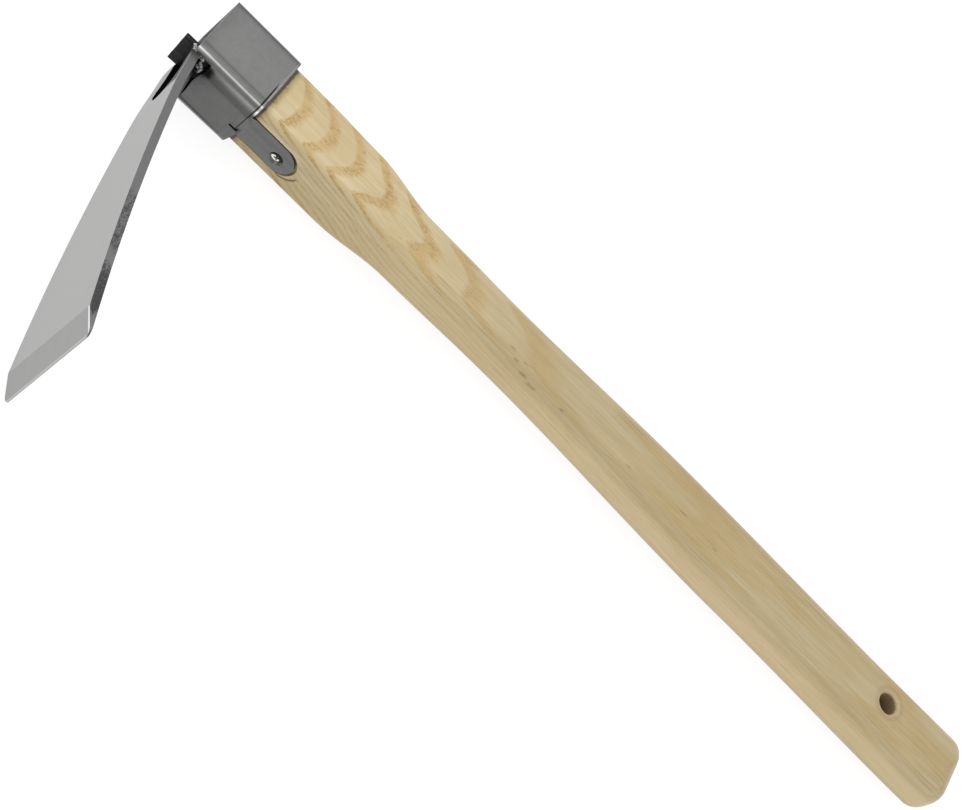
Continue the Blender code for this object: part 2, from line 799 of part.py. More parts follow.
def main():
    """Build the hoe and lay it down."""
    clear_scene()
    rest = bpy.data.objects.new("resting", None)
    parts = new_collection(TOOL_NAME)
    parts.objects.link(rest)
    tool = {
        "parts": parts,
        "cutters": new_collection("cutters"),
        "rest": rest,
        "stainless": new_material("stainless_steel", (0.52, 0.52, 0.51), 0.34, 1.0),
        "blade_steel": new_material("blade_steel", (0.60, 0.60, 0.59), 0.36, 1.0),
        "weld_metal": new_material("weld_metal", (0.33, 0.32, 0.31), 0.45, 1.0),
        "black_steel": new_material("black_steel", (0.035, 0.035, 0.037), 0.55, 0.8),
        "nickel": new_material("nickel_plate", (0.72, 0.70, 0.66), 0.22, 1.0),
        "ash": new_material("ash_wood", (0.57, 0.45, 0.24), 0.55, 0.0),
    }
    handle = build_handle(tool)
    socket = build_socket(tool)
    blade = build_blade(tool)
    wedge = build_wedge(tool)
    screw = build_screw(tool)
    build_clearances(tool)
    left = build_weld("weld_left", 1, tool)
    right = build_weld("weld_right", -1, tool)
    steel = [(piece, STEEL_DENSITY) for piece in (socket, blade, wedge, screw, left, right)]
    lay_down([(handle, WOOD_DENSITY)] + steel, rest)


main()
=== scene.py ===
"""Looks of a short garden hoe: ash handle, bent sheet socket, welded blade, wedge and screw.

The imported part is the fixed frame. Every piece here is drawn in the tool's own axes, which are
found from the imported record's mounts: along the handle, back (away from the blade) and side.
Lengths are in metres in the meshes and in millimetres in the materials.
"""
from __future__ import annotations

import json
import logging
import math
from dataclasses import dataclass, field
from enum import Enum
from functools import cached_property
from typing import Callable, Iterable, Optional, Sequence, Union

import bmesh
import bpy
from bmesh.types import BMesh
from bpy.types import Material, Object
from mathutils import Matrix, Vector, noise

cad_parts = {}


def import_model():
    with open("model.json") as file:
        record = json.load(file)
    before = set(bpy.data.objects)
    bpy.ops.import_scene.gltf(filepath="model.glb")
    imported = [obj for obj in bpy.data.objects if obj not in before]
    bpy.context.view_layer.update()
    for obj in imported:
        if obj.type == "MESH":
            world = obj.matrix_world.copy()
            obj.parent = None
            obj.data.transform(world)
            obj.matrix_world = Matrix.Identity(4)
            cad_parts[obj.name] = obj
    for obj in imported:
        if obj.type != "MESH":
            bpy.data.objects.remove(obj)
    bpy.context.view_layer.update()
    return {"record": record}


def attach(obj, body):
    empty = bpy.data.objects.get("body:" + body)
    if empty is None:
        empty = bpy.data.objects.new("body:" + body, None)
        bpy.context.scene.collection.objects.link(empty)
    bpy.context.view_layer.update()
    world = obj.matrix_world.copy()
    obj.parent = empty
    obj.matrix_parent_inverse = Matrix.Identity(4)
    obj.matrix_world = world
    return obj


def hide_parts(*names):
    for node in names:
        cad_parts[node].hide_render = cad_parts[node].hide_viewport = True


LOG = logging.getLogger("garden_hoe")

MM = 0.001
BODY = "root"
SOCKET_MOUNT_ALONG = 0.018
Colour = tuple[float, float, float]


class Slot(str, Enum):
    """The record's material slots."""

    WOOD = "ash_wood"
    SOCKET = "stainless_steel"
    BLADE = "blade_steel"
    BLACK = "black_steel"
    NICKEL = "nickel_plate"
    WELD = "weld_metal"


@dataclass(frozen=True)
class Places:
    """Sizes that more than one piece fits to, in metres, as in the solids."""

    socket_length: float = 0.035
    socket_depth: float = 0.0344
    socket_width: float = 0.0336
    sheet: float = 0.002
    bend_radius: float = 0.0041
    relief_length: float = 0.0044
    crease_place: float = 0.0336
    notch_length: float = 0.009
    tongue_width: float = 0.0150
    tongue_shift: float = -0.0005
    tongue_reach: float = 0.027
    tongue_step: float = 0.0019
    screw_from_tip: float = 0.0083
    screw_shift: float = -0.0013
    wedge_offset: float = 0.0110
    wedge_head: float = 0.0027
    wedge_tip: float = 0.0012
    wedge_length: float = 0.028
    wedge_proud: float = 0.0062
    gap: float = 0.0003

    @property
    def tongue_tip(self) -> float:
        """The far end of the tongue along the handle."""
        return self.socket_length + self.tongue_reach

    @property
    def tongue_face(self) -> float:
        """The level of the tongue's outer face, towards the blade."""
        return self.socket_depth / 2 - self.tongue_step

    @property
    def screw_place(self) -> float:
        """The screw's place along the handle."""
        return self.tongue_tip - self.screw_from_tip


PLACES = Places()


@dataclass(frozen=True)
class ToolFrame:
    """The tool's own axes inside the row frame.

    Args:
        matrix: turns a point of the tool's axes into the row frame.
    """

    matrix: Matrix

    @classmethod
    def from_record(cls, record: dict) -> ToolFrame:
        """Find the axes from two flat faces of the socket.

        Args:
            record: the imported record.

        Returns:
            The tool's frame.
        """
        mounts = {mount["name"]: mount for mount in record["mounts"]}
        side = Vector(mounts["socket_side"]["axis"]).normalized()
        back = Vector(mounts["socket_back"]["axis"]).normalized()
        turn = Matrix((back.cross(side), back, side)).transposed()
        to_side = side * (PLACES.socket_width / 2)
        to_back = back * (PLACES.socket_depth / 2)
        axis_point = Vector(mounts["socket_side"]["pos_m"]) - to_side
        other_point = Vector(mounts["socket_back"]["pos_m"]) - to_back
        middle = (axis_point + other_point) / 2
        origin = middle - turn.col[0] * SOCKET_MOUNT_ALONG
        return cls(Matrix.Translation(origin) @ turn.to_4x4())


def tool_point(along: float, belly: float, side: float) -> Vector:
    """Give a point from its place along the handle, towards the blade and to the side."""
    return Vector((along, -belly, side))


def blend(low: float, high: float, share: float) -> float:
    """Ease from one value to another as the share goes from 0 to 1."""
    share = min(max(share, 0.0), 1.0)
    return low + (high - low) * share * share * (3.0 - 2.0 * share)


def quarter(step: int, steps: int) -> float:
    """Give the angle of a step of a quarter turn."""
    return 0.5 * math.pi * step / steps


def smooth_floor(value: float, softness: float) -> float:
    """Give the value where it is above zero and zero below it, with a soft bend between."""
    return 0.5 * (value + math.sqrt(value * value + softness * softness))


# Meshes


def mapped_grid(columns: int, rows: int, place: Callable[[int, int], Vector]) -> BMesh:
    """Lay a grid round a surface, so that its last column meets the first one.

    Args:
        columns: how many faces the grid has round the surface.
        rows: how many faces the grid has lengthwise.
        place: gives the point of a column and a row, both counted from 0.

    Returns:
        The grid, with its seam merged.
    """
    builder = bmesh.new()
    bmesh.ops.create_grid(builder, x_segments=columns, y_segments=rows, size=1.0)
    for vert in builder.verts:
        column = round((vert.co.x + 1.0) * columns / 2)
        row = round((vert.co.y + 1.0) * rows / 2)
        vert.co = place(column % columns, row)
    bmesh.ops.remove_doubles(builder, verts=builder.verts, dist=1e-7)
    return builder


def face_outwards(builder: BMesh) -> None:
    """Point every face of a closed shape outwards."""
    bmesh.ops.recalc_face_normals(builder, faces=builder.faces)
    if builder.calc_volume(signed=True) < 0.0:
        bmesh.ops.reverse_faces(builder, faces=builder.faces)


def tube(columns: int, rows: int, place: Callable[[int, int], Vector]) -> BMesh:
    """Lay a closed grid round a solid and fill its two ends with flat caps.

    Args:
        columns: how many faces the grid has round the solid.
        rows: how many faces the grid has lengthwise.
        place: gives the point of a column and a row, both counted from 0.

    Returns:
        The solid.
    """
    builder = mapped_grid(columns, rows, place)
    edges = [edge for edge in builder.edges if edge.is_boundary]
    bmesh.ops.edgeloop_fill(builder, edges=edges)
    face_outwards(builder)
    return builder


def soften(builder: BMesh, width: float, segments: int, least_angle: float) -> None:
    """Round the edges that are sharper than an angle.

    Args:
        builder: the shape.
        width: the width of the rounding.
        segments: how many faces round each edge.
        least_angle: the angle between faces, in radians, from which an edge is rounded.
    """
    edges = [
        edge for edge in builder.edges if edge.is_manifold and edge.calc_face_angle() > least_angle
    ]
    bmesh.ops.bevel(
        builder,
        geom=edges,
        offset=width,
        offset_type="OFFSET",
        affect="EDGES",
        segments=segments,
        profile=0.5,
        clamp_overlap=True,
        material=-1,
    )


def spun(profile: Sequence[tuple[float, float]], steps: int) -> BMesh:
    """Turn a profile about the vertical axis.

    Args:
        profile: pairs of radius and height, from one end on the axis to the other.
        steps: how many faces go round.

    Returns:
        The turned solid, with its poles merged.
    """
    builder = bmesh.new()
    points = [builder.verts.new((radius, 0.0, height)) for radius, height in profile]
    edges = [builder.edges.new(pair) for pair in zip(points, points[1:])]
    bmesh.ops.spin(
        builder,
        geom=points + edges,
        axis=(0.0, 0.0, 1.0),
        cent=(0.0, 0.0, 0.0),
        angle=2.0 * math.pi,
        steps=steps,
        use_merge=True,
    )
    bmesh.ops.remove_doubles(builder, verts=builder.verts, dist=1e-6)
    face_outwards(builder)
    return builder


def block(low: Sequence[float], high: Sequence[float]) -> BMesh:
    """Make a box between two corners given as (along, belly, side)."""
    builder = bmesh.new()
    first = tool_point(*low)
    last = tool_point(*high)
    bmesh.ops.create_cube(builder, size=1.0)
    spread = last - first
    stretch = Matrix.Diagonal((abs(spread.x), abs(spread.y), abs(spread.z), 1.0))
    builder.transform(Matrix.Translation((first + last) / 2) @ stretch)
    return builder


def pushed(outline: Sequence[Vector], across: Vector) -> BMesh:
    """Push a flat outline along a vector into a solid."""
    builder = bmesh.new()
    face = builder.faces.new([builder.verts.new(point) for point in outline])
    result = bmesh.ops.extrude_face_region(builder, geom=[face], use_keep_orig=True)
    moved = [item for item in result["geom"] if isinstance(item, bmesh.types.BMVert)]
    bmesh.ops.translate(builder, verts=moved, vec=across)
    face_outwards(builder)
    return builder


def round_ended_outline(
    start: float, end: float, half_width: float, level: float, shift: float = 0.0
) -> list[Vector]:
    """Give the outline of a strip with one round end.

    Args:
        start: the square end, along the handle.
        end: the tip of the round end.
        half_width: half the strip's width.
        level: the outline's level towards the blade.
        shift: how far the strip lies to the side.

    Returns:
        The outline's points in order.
    """
    steps = 32
    points = [tool_point(start, level, shift - half_width)]
    for step in range(steps + 1):
        angle = -0.5 * math.pi + math.pi * step / steps
        along = end - half_width + half_width * math.cos(angle)
        points.append(tool_point(along, level, shift + half_width * math.sin(angle)))
    points.append(tool_point(start, level, shift + half_width))
    return points


def round_corners(
    back: float, belly: float, half_width: float, corner: float, steps: int
) -> list[list[tuple[float, float]]]:
    """Give the four arcs of a rounded rectangle across the handle's axis, as (belly, side)."""
    centres = (
        (belly - corner, half_width - corner, 0.0),
        (-back + corner, half_width - corner, 0.5 * math.pi),
        (-back + corner, -half_width + corner, math.pi),
        (belly - corner, -half_width + corner, 1.5 * math.pi),
    )
    arcs = []
    for level, side, first_angle in centres:
        angles = [first_angle + quarter(step, steps) for step in range(steps + 1)]
        arcs.append(
            [(level + corner * math.cos(turn), side + corner * math.sin(turn)) for turn in angles]
        )
    return arcs


def rounded_section(along: float, *sizes: float) -> list[Vector]:
    """Give the points of a rounded rectangle at a place along the handle."""
    return [tool_point(along, *point) for arc in round_corners(*sizes) for point in arc]


def tapering(start: float, tip: float, play: float, width: float) -> BMesh:
    """Make the wedge's tapering shape, with some play above and below it."""
    top = PLACES.wedge_offset
    corners = (
        (start, top + play),
        (tip, top + play),
        (tip, top - PLACES.wedge_tip - play),
        (start, top - PLACES.wedge_head - play),
    )
    outline = [tool_point(along, belly, -width / 2) for along, belly in corners]
    return pushed(outline, tool_point(0.0, 0.0, width))


def loose(name: str, builder: BMesh) -> Object:
    """Put a shape in the scene as a plain object; the shape is used up."""
    mesh = bpy.data.meshes.new(name)
    builder.to_mesh(mesh)
    builder.free()
    item = bpy.data.objects.new(name, mesh)
    bpy.context.scene.collection.objects.link(item)
    return item


def modified(item: Object, tools: Sequence[Object] = ()) -> BMesh:
    """Take the shape that an object's modifiers make.

    Args:
        item: the object, which is removed.
        tools: the objects that its modifiers use, which are removed too.

    Returns:
        The shape.
    """
    bpy.context.view_layer.update()
    shown = item.evaluated_get(bpy.context.evaluated_depsgraph_get())
    result = bmesh.new()
    result.from_mesh(shown.to_mesh())
    shown.to_mesh_clear()
    for used in (item, *tools):
        mesh = used.data
        bpy.data.objects.remove(used, do_unlink=True)
        bpy.data.meshes.remove(mesh)
    return result


def cut(builder: BMesh, cutters: Iterable[tuple[str, BMesh]]) -> BMesh:
    """Cut shapes out of a solid.

    Args:
        builder: the solid, which is used up.
        cutters: pairs of a cut's name and its closed shape, which are used up.

    Returns:
        The solid that is left.
    """
    item = loose("uncut", builder)
    tools = []
    for name, cutter in cutters:
        tool = loose(name, cutter)
        modifier = item.modifiers.new(name, "BOOLEAN")
        modifier.operation = "DIFFERENCE"
        modifier.solver = "EXACT"
        modifier.object = tool
        tools.append(tool)
    return modified(item, tools)


# Materials


def operator(operation: str, reflected: bool = False) -> Callable[[Value, Operand], Value]:
    """Make an arithmetic method that adds a Math node.

    Args:
        operation: the node's operation.
        reflected: whether the socket is the second value and not the first.

    Returns:
        The method.
    """

    def method(self: Value, other: Operand) -> Value:
        """Give the operation's result."""
        pair = (other, self) if reflected else (self, other)
        return self.net.math(operation, *pair)

    return method


class Value:
    """A shader socket that takes part in Python expressions.

    Args:
        net: the node tree that the socket belongs to.
        socket: the output socket.
    """

    __add__ = operator("ADD")
    __radd__ = operator("ADD", reflected=True)
    __sub__ = operator("SUBTRACT")
    __rsub__ = operator("SUBTRACT", reflected=True)
    __mul__ = operator("MULTIPLY")
    __rmul__ = operator("MULTIPLY", reflected=True)
    __truediv__ = operator("DIVIDE")
    __rtruediv__ = operator("DIVIDE", reflected=True)
    __mod__ = operator("FLOORED_MODULO")

    def __init__(self, net: Net, socket: bpy.types.NodeSocket) -> None:
        self.net = net
        self.socket = socket

    def __neg__(self) -> Value:
        """Give the opposite value."""
        return self * -1.0

    def __abs__(self) -> Value:
        """Give the absolute value."""
        return self.net.math("ABSOLUTE", self)


Operand = Union[Value, float]
ColourLike = Union[Value, Colour]
Curve = Sequence[tuple[float, float]]


class Net:
    """A material's node tree, written as expressions.

    Args:
        name: the material's name.
        frame: the tool's frame, which the patterns follow.
    """

    def __init__(self, name: str, frame: ToolFrame) -> None:
        self.material = bpy.data.materials.new(name)
        self.material.use_nodes = True
        self.tree = self.material.node_tree
        self.tree.nodes.clear()
        self.output = self.tree.nodes.new("ShaderNodeOutputMaterial")
        self.frame = frame

    @cached_property
    def place(self) -> Value:
        """The place on the tool in millimetres along its own axes."""
        turn = self.frame.matrix.to_3x3().inverted()
        origin = turn @ self.frame.matrix.translation
        inputs = {
            "Vector": self.node("ShaderNodeTexCoord").outputs["Object"],
            "Location": -origin / MM,
            "Rotation": turn.to_euler(),
            "Scale": (1.0 / MM, 1.0 / MM, 1.0 / MM),
        }
        node = self.node("ShaderNodeMapping", {"vector_type": "POINT"}, inputs)
        return Value(self, node.outputs["Vector"])

    @cached_property
    def numbers(self) -> tuple[Value, Value, Value]:
        """The place's numbers: along the handle, away from the blade and to the side."""
        return self.split(self.place)

    @property
    def along(self) -> Value:
        """The place along the handle."""
        return self.numbers[0]

    @cached_property
    def belly(self) -> Value:
        """The level towards the blade."""
        return -self.numbers[1]

    @property
    def side(self) -> Value:
        """The level to the side."""
        return self.numbers[2]

    def node(
        self, kind: str, settings: Optional[dict] = None, inputs: Optional[dict] = None
    ) -> bpy.types.Node:
        """Add a node.

        Args:
            kind: the node's type.
            settings: its settings; "stops" are a colour ramp's places and colours, and "points"
                are a curve's points.
            inputs: the values or links of its sockets, by name or by number.

        Returns:
            The node.
        """
        node = self.tree.nodes.new(kind)
        for name, setting in (settings or {}).items():
            if name == "stops":
                self.set_stops(node, setting)
            elif name == "points":
                self.set_points(node, setting)
            else:
                setattr(node, name, setting)
        for name, value in (inputs or {}).items():
            if isinstance(value, Value):
                self.tree.links.new(value.socket, node.inputs[name])
            elif isinstance(value, bpy.types.NodeSocket):
                self.tree.links.new(value, node.inputs[name])
            else:
                node.inputs[name].default_value = value
        return node

    @staticmethod
    def set_stops(node: bpy.types.Node, stops: Sequence[tuple[float, Colour]]) -> None:
        """Set a colour ramp's stops."""
        elements = node.color_ramp.elements
        while len(elements) < len(stops):
            elements.new(1.0)
        for element, (place, colour) in zip(elements, stops):
            element.position = place
            element.color = (*colour, 1.0)

    @staticmethod
    def set_points(node: bpy.types.Node, points: Curve) -> None:
        """Set a float curve's points, from its first to its last."""
        curve = node.mapping.curves[0]
        while len(curve.points) < len(points):
            curve.points.new(0.5, 0.5)
        for point, (place, level) in zip(curve.points, points):
            point.location = (place, level)
        node.mapping.update()

    def math(self, operation: str, first: Operand, second: Optional[Operand] = None) -> Value:
        """Add a Math node.

        Args:
            operation: the node's operation.
            first: its first value.
            second: its second value, where it has one.

        Returns:
            The result.
        """
        inputs = {0: first} if second is None else {0: first, 1: second}
        return Value(self, self.node("ShaderNodeMath", {"operation": operation}, inputs).outputs[0])

    def most(self, first: Operand, second: Operand) -> Value:
        """Give the greater of two values."""
        return self.math("MAXIMUM", first, second)

    def least(self, first: Operand, second: Operand) -> Value:
        """Give the lesser of two values."""
        return self.math("MINIMUM", first, second)

    def away(self, *offsets: Value) -> Value:
        """Give the distance that offsets at right angles to one another make."""
        square = offsets[0] * offsets[0]
        for offset in offsets[1:]:
            square = square + offset * offset
        return self.math("SQRT", square)

    def step(self, value: Value, low: float, high: float) -> Value:
        """Rise softly from 0 to 1 between two values, or fall where low is above high."""
        rising = low < high
        inputs = {
            "Value": value,
            "From Min": min(low, high),
            "From Max": max(low, high),
            "To Min": 0.0 if rising else 1.0,
            "To Max": 1.0 if rising else 0.0,
        }
        node = self.node("ShaderNodeMapRange", {"interpolation_type": "SMOOTHSTEP"}, inputs)
        return Value(self, node.outputs["Result"])

    def band(self, value: Value, start: float, full: float, last: float, end: float) -> Value:
        """Rise softly from 0 at the start to 1, hold, and fall to 0 again at the end."""
        return self.step(value, start, full) * self.step(value, end, last)

    def split(self, vector: Value) -> tuple[Value, Value, Value]:
        """Give a vector's three numbers."""
        node = self.node("ShaderNodeSeparateXYZ", None, {0: vector})
        return tuple(Value(self, output) for output in node.outputs)

    def tinted(self, tone: Value, tint: Sequence[float] = (1.0, 1.0, 0.99)) -> Value:
        """Make a colour of a tone and its shares of red, green and blue."""
        parts = {number: tone * share for number, share in enumerate(tint)}
        return Value(self, self.node("ShaderNodeCombineXYZ", None, parts).outputs[0])

    def stretched(self, scale: Sequence[float]) -> Value:
        """Give the place, scaled by a constant along each axis."""
        inputs = {0: self.place, 1: scale}
        node = self.node("ShaderNodeVectorMath", {"operation": "MULTIPLY"}, inputs)
        return Value(self, node.outputs[0])

    def noise(self, scale: Sequence[float], detail: float = 2.0, roughness: float = 0.5) -> Value:
        """Give a noise whose scale differs by axis.

        Args:
            scale: how many features a millimetre holds along each axis.
            detail: how many finer layers it has.
            roughness: how strong the finer layers are.

        Returns:
            The noise, about 0.5 on average.
        """
        inputs = {
            "Vector": self.stretched(scale),
            "Scale": 1.0,
            "Detail": detail,
            "Roughness": roughness,
        }
        return Value(self, self.node("ShaderNodeTexNoise", None, inputs).outputs[0])

    def waver(self, scale: Sequence[float], detail: float = 2.0, roughness: float = 0.6) -> Value:
        """Give a noise that is about 0 on average."""
        return self.noise(scale, detail, roughness) - 0.5

    def cells(self, scale: Sequence[float]) -> Value:
        """Give the distance to the nearest of scattered points, about 0 to 1."""
        inputs = {"Vector": self.stretched(scale), "Scale": 1.0, "Randomness": 1.0}
        node = self.node("ShaderNodeTexVoronoi", {"feature": "F1"}, inputs)
        return Value(self, node.outputs["Distance"])

    def mix(self, share: Operand, first: ColourLike, second: ColourLike) -> Value:
        """Mix two colours by a share of the second one."""
        inputs = {0: share, 6: self.full(first), 7: self.full(second)}
        return Value(self, self.node("ShaderNodeMix", {"data_type": "RGBA"}, inputs).outputs[2])

    def shade(self, colour: Value, factor: Value) -> Value:
        """Multiply a colour by a number."""
        inputs = {0: colour, "Scale": factor}
        node = self.node("ShaderNodeVectorMath", {"operation": "SCALE"}, inputs)
        return Value(self, node.outputs[0])

    def ramp(self, value: Value, levels: Curve) -> Value:
        """Give a number that follows levels joined by straight lines."""
        first, last = levels[0][0], levels[-1][0]
        stops = [((place - first) / (last - first), (level,) * 3) for place, level in levels]
        share = (value - first) / (last - first)
        node = self.node("ShaderNodeValToRGB", {"stops": stops}, {0: share})
        return self.split(Value(self, node.outputs[0]))[0]

    def curve(self, value: Value, points: Curve) -> Value:
        """Give a number that follows a smooth curve through points, from the first to the last."""
        first, last = points[0][0], points[-1][0]
        top = max(level for _, level in points)
        scaled = [((place - first) / (last - first), level / top) for place, level in points]
        share = self.least(self.most((value - first) / (last - first), 0.0), 1.0)
        inputs = {"Factor": 1.0, "Value": share}
        node = self.node("ShaderNodeFloatCurve", {"points": scaled}, inputs)
        return Value(self, node.outputs[0]) * top

    @staticmethod
    def full(colour: ColourLike) -> Union[Value, tuple[float, ...]]:
        """Give a plain colour with its alpha, and leave a linked one as it is."""
        return colour if isinstance(colour, Value) else (*colour, 1.0)

    def surface(
        self,
        colour: Value,
        roughness: Operand,
        metallic: float,
        height: Value,
        relief: float,
        coat: float = 0.0,
    ) -> None:
        """Finish the material with its shader.

        Args:
            colour: the base colour.
            roughness: the roughness.
            metallic: how metallic it is.
            height: the surface's relief, between 0 and 1.
            relief: the relief's height in millimetres.
            coat: the weight of a clear coat.
        """
        bump = self.node(
            "ShaderNodeBump", None, {"Height": height, "Strength": 1.0, "Distance": relief * MM}
        )
        inputs = {
            "Base Color": colour,
            "Roughness": roughness,
            "Metallic": metallic,
            "Coat Weight": coat,
            "Coat Roughness": 0.25,
            "Normal": bump.outputs[0],
        }
        self.close(self.node("ShaderNodeBsdfPrincipled", None, inputs))

    def close(self, shader: bpy.types.Node) -> None:
        """Link a shader to the material's output."""
        self.tree.links.new(shader.outputs[0], self.output.inputs[0])


@dataclass(frozen=True)
class Finish:
    """A procedural material; each kind has its own name and draws its own pattern.

    Args:
        title: the material's name.
    """

    title: str = "finish"

    def draw(self, net: Net) -> None:
        """Draw the material's pattern and link its shader."""
        raise NotImplementedError

    def build(self, frame: ToolFrame) -> Material:
        """Make the material.

        Args:
            frame: the tool's frame.

        Returns:
            The material.
        """
        net = Net(self.title, frame)
        self.draw(net)
        return net.material


@dataclass(frozen=True)
class AshWood(Finish):
    """Clear-lacquered ash, sawn so that its growth rings arch over the side of the head.

    The rings are cylinders about a line that lies under the side face and sinks away from it
    towards the butt, so that each ring meets the face in an arch whose top points to the butt.

    Args:
        late: the colour of the hard, late part of a ring.
        pale: the colour of the palest clouds.
        early: the colour of the porous, early part of a ring.
        pore: the colour of the pores.
        fleck: the colour of the long grain marks.
        bleached: the colour of the worn belly and back of the grip.
        bare: the colour of the bare wood beside the tongue.
        shadow_and_stain: the near-black of the grime and painted shadow behind the socket and of
            the painted shadow line by the pocket.
        soot_and_shade: the near-black of the wood that shows through the notch, painted shade in
            the hollow behind the neck.
        darkened: the darker brown of the hang hole's wall and of the faint ring round its rims.
        spots: the small dark knots, as their place along, level towards the belly, half length
            and half width.
        pocket_rim_middle: the middle of the painted shadow line by the pocket's rim, along and to
            the side.
        pocket_rim_radius: the radius of that painted shadow line.
        hole: the hang hole's place along the handle and its level towards the belly.
        hole_ring: the radius of the brown ring round the hang hole's rims.
        ring: the width of a growth ring, in millimetres.
        first_radius: how far the rings' line lies under the side face at the head.
        tops: where the arches' tops lie along the handle, from ring 0 on.
        swing: pairs of a place along the handle and the arches' level there, towards the belly.
        level: pairs of a place along the handle and the side face's level there.
        spread: pairs of a place along the handle and how steep the arches are there.
        early_share: how much of a ring is early wood.
        lightness: how light the wood is before its fibres and lines are added.
        fibres: how strong the fine fibres are.
        lines: how strong the fine lines are.
        roughness: how rough the lacquer is.
        coat: the weight of the lacquer's gloss.
    """

    title: str = "ash_wood"
    late: Colour = (0.640, 0.500, 0.268)
    pale: Colour = (0.695, 0.565, 0.335)
    early: Colour = (0.605, 0.418, 0.160)
    pore: Colour = (0.400, 0.230, 0.080)
    fleck: Colour = (0.330, 0.175, 0.060)
    bleached: Colour = (0.747, 0.583, 0.331)
    bare: Colour = (0.760, 0.660, 0.500)
    shadow_and_stain: Colour = (0.055, 0.036, 0.022)
    soot_and_shade: Colour = (0.012, 0.010, 0.008)
    darkened: Colour = (0.200, 0.120, 0.045)
    spots: Sequence[tuple[float, float, float, float]] = (
        (177.5, 9.2, 3.2, 0.50),
        (181.5, 11.6, 2.6, 0.45),
        (185.5, 10.2, 3.0, 0.40),
        (188.5, 13.4, 3.4, 0.50),
        (193.5, 14.2, 3.0, 0.50),
        (209.8, 13.2, 1.6, 0.50),
        (247.7, 11.2, 2.4, 0.50),
        (278.7, 8.7, 3.0, 0.50),
        (299.7, 10.9, 2.5, 0.45),
    )
    pocket_rim_middle: tuple[float, float] = (57.9, -0.5)
    pocket_rim_radius: float = 7.95
    hole: tuple[float, float] = (406.3, 3.2)
    hole_ring: float = 7.2
    ring: float = 2.6
    first_radius: float = 29.0
    tops: Sequence[float] = (45.0, 58.5, 74.5, 93.5, 118.0, 152.9, 202.6, 350.0, 423.0, 500.0)
    swing: Curve = (
        (30.0, 3.0),
        (60.0, 2.2),
        (85.0, 1.2),
        (115.0, 3.0),
        (150.0, 4.0),
        (200.0, 2.8),
        (350.0, 3.4),
        (455.0, 8.4),
    )
    level: Curve = ((30.0, 14.5), (84.0, 14.5), (101.5, 13.25), (119.0, 12.0), (455.0, 12.0))
    spread: Curve = (
        (30.0, 0.60),
        (60.0, 0.76),
        (85.0, 0.88),
        (115.0, 1.10),
        (150.0, 1.00),
        (455.0, 1.00),
    )
    early_share: float = 0.42
    lightness: float = 0.73
    fibres: float = 0.22
    lines: float = 0.32
    roughness: float = 0.46
    coat: float = 0.12

    def draw(self, net: Net) -> None:
        """Draw the growth rings and pores, and the marks of work and wear."""
        along, side = net.along, net.side
        cycle = self.ring_phase(net) % 1.0
        early_end = self.early_share + net.waver((0.10, 0.8, 0.8)) * 0.30
        early = net.step(cycle, 0.0, 0.12) * net.step(cycle - early_end, 0.12, -0.16)
        early = early * (1.0 - net.step(abs(side), 11.6, 9.0) * 0.5)
        early = early * (1.0 - net.step(along, 110.0, 220.0) * 0.45)
        porous = early * self.pores(net)
        fibre = net.noise((0.05, 3.2, 3.2), 3.0, 0.6)
        line = net.noise((0.045, 1.5, 1.5))
        cloud = net.noise((0.02, 0.07, 0.07)) + (net.noise((0.011, 0.42, 0.42)) - 0.5) * 0.8
        front = net.step(net.belly, 0.0, 8.0)
        worn = net.step(along, 80.0, 200.0) * net.step(abs(side), 2.5, 10.0) * 0.20

        colour = net.mix(net.step(cloud, 0.35, 0.75), self.late, self.pale)
        layers = (
            (early * 0.78, self.early),
            (porous * 0.92, self.pore),
            (self.flecks(net), self.fleck),
            (self.edge_grain(net), self.bleached),
            (self.knots(net) * 0.5, self.fleck),
            (self.bore(net), self.darkened),
            (self.milled(net) * front, self.bare),
            # a painted shadow line along the pocket's rim
            (self.pocket_rim_shadow(net) * front * 0.8, self.shadow_and_stain),
            # grime and a painted contact shadow behind the socket
            (self.grime_and_shadow(net), self.shadow_and_stain),
            # painted shade on the wood in the notch
            (self.notch_shade(net), self.soot_and_shade),
        )
        for share, layer in layers:
            colour = net.mix(share, colour, layer)
        lightness = self.lightness + self.fibres * fibre + self.lines * line - worn
        colour = net.shade(colour, lightness)
        roughness = self.roughness + 0.12 * porous + 0.06 * (fibre - 0.5)
        net.surface(colour, roughness, 0.0, fibre * 0.5 - porous, 0.05, self.coat)

    def ring_phase(self, net: Net) -> Value:
        """Count growth rings, so that a whole number is the start of a ring."""
        along = net.along
        counted = net.curve(along, [(top, number) for number, top in enumerate(self.tops)])
        before_first = net.least((along - self.tops[0]) / 11.0, 0.0)
        sunk = net.curve(along, self.level) - net.side
        depth = (counted + before_first) * self.ring + self.first_radius - sunk
        across = (net.belly - net.curve(along, self.swing)) * net.curve(along, self.spread)
        wobble = net.waver((0.020, 0.07, 0.07), roughness=0.45)
        return (net.away(depth, across) - self.first_radius) / self.ring + wobble * 0.55

    def pores(self, net: Net) -> Value:
        """Scatter the short dark pores of the early wood, which fade towards the grip."""
        large = net.step(net.cells((0.50, 2.1, 2.1)), 0.50, 0.26)
        small = net.step(net.cells((0.95, 3.6, 3.6)), 0.46, 0.24)
        presence = net.step(net.noise((0.14, 0.5, 0.5), 1.0), 0.32, 0.60)
        fading = 1.0 - net.step(net.along, 80.0, 190.0) * 0.72
        return net.most(large, small * 0.8) * presence * fading

    def flecks(self, net: Net) -> Value:
        """Scatter a few long, thin, darker grain marks."""
        lines = net.step(net.noise((0.035, 1.9, 1.9), 1.0, 0.4), 0.64, 0.73)
        return lines * net.step(net.noise((0.014, 0.12, 0.12), 1.0), 0.46, 0.62) * 0.55

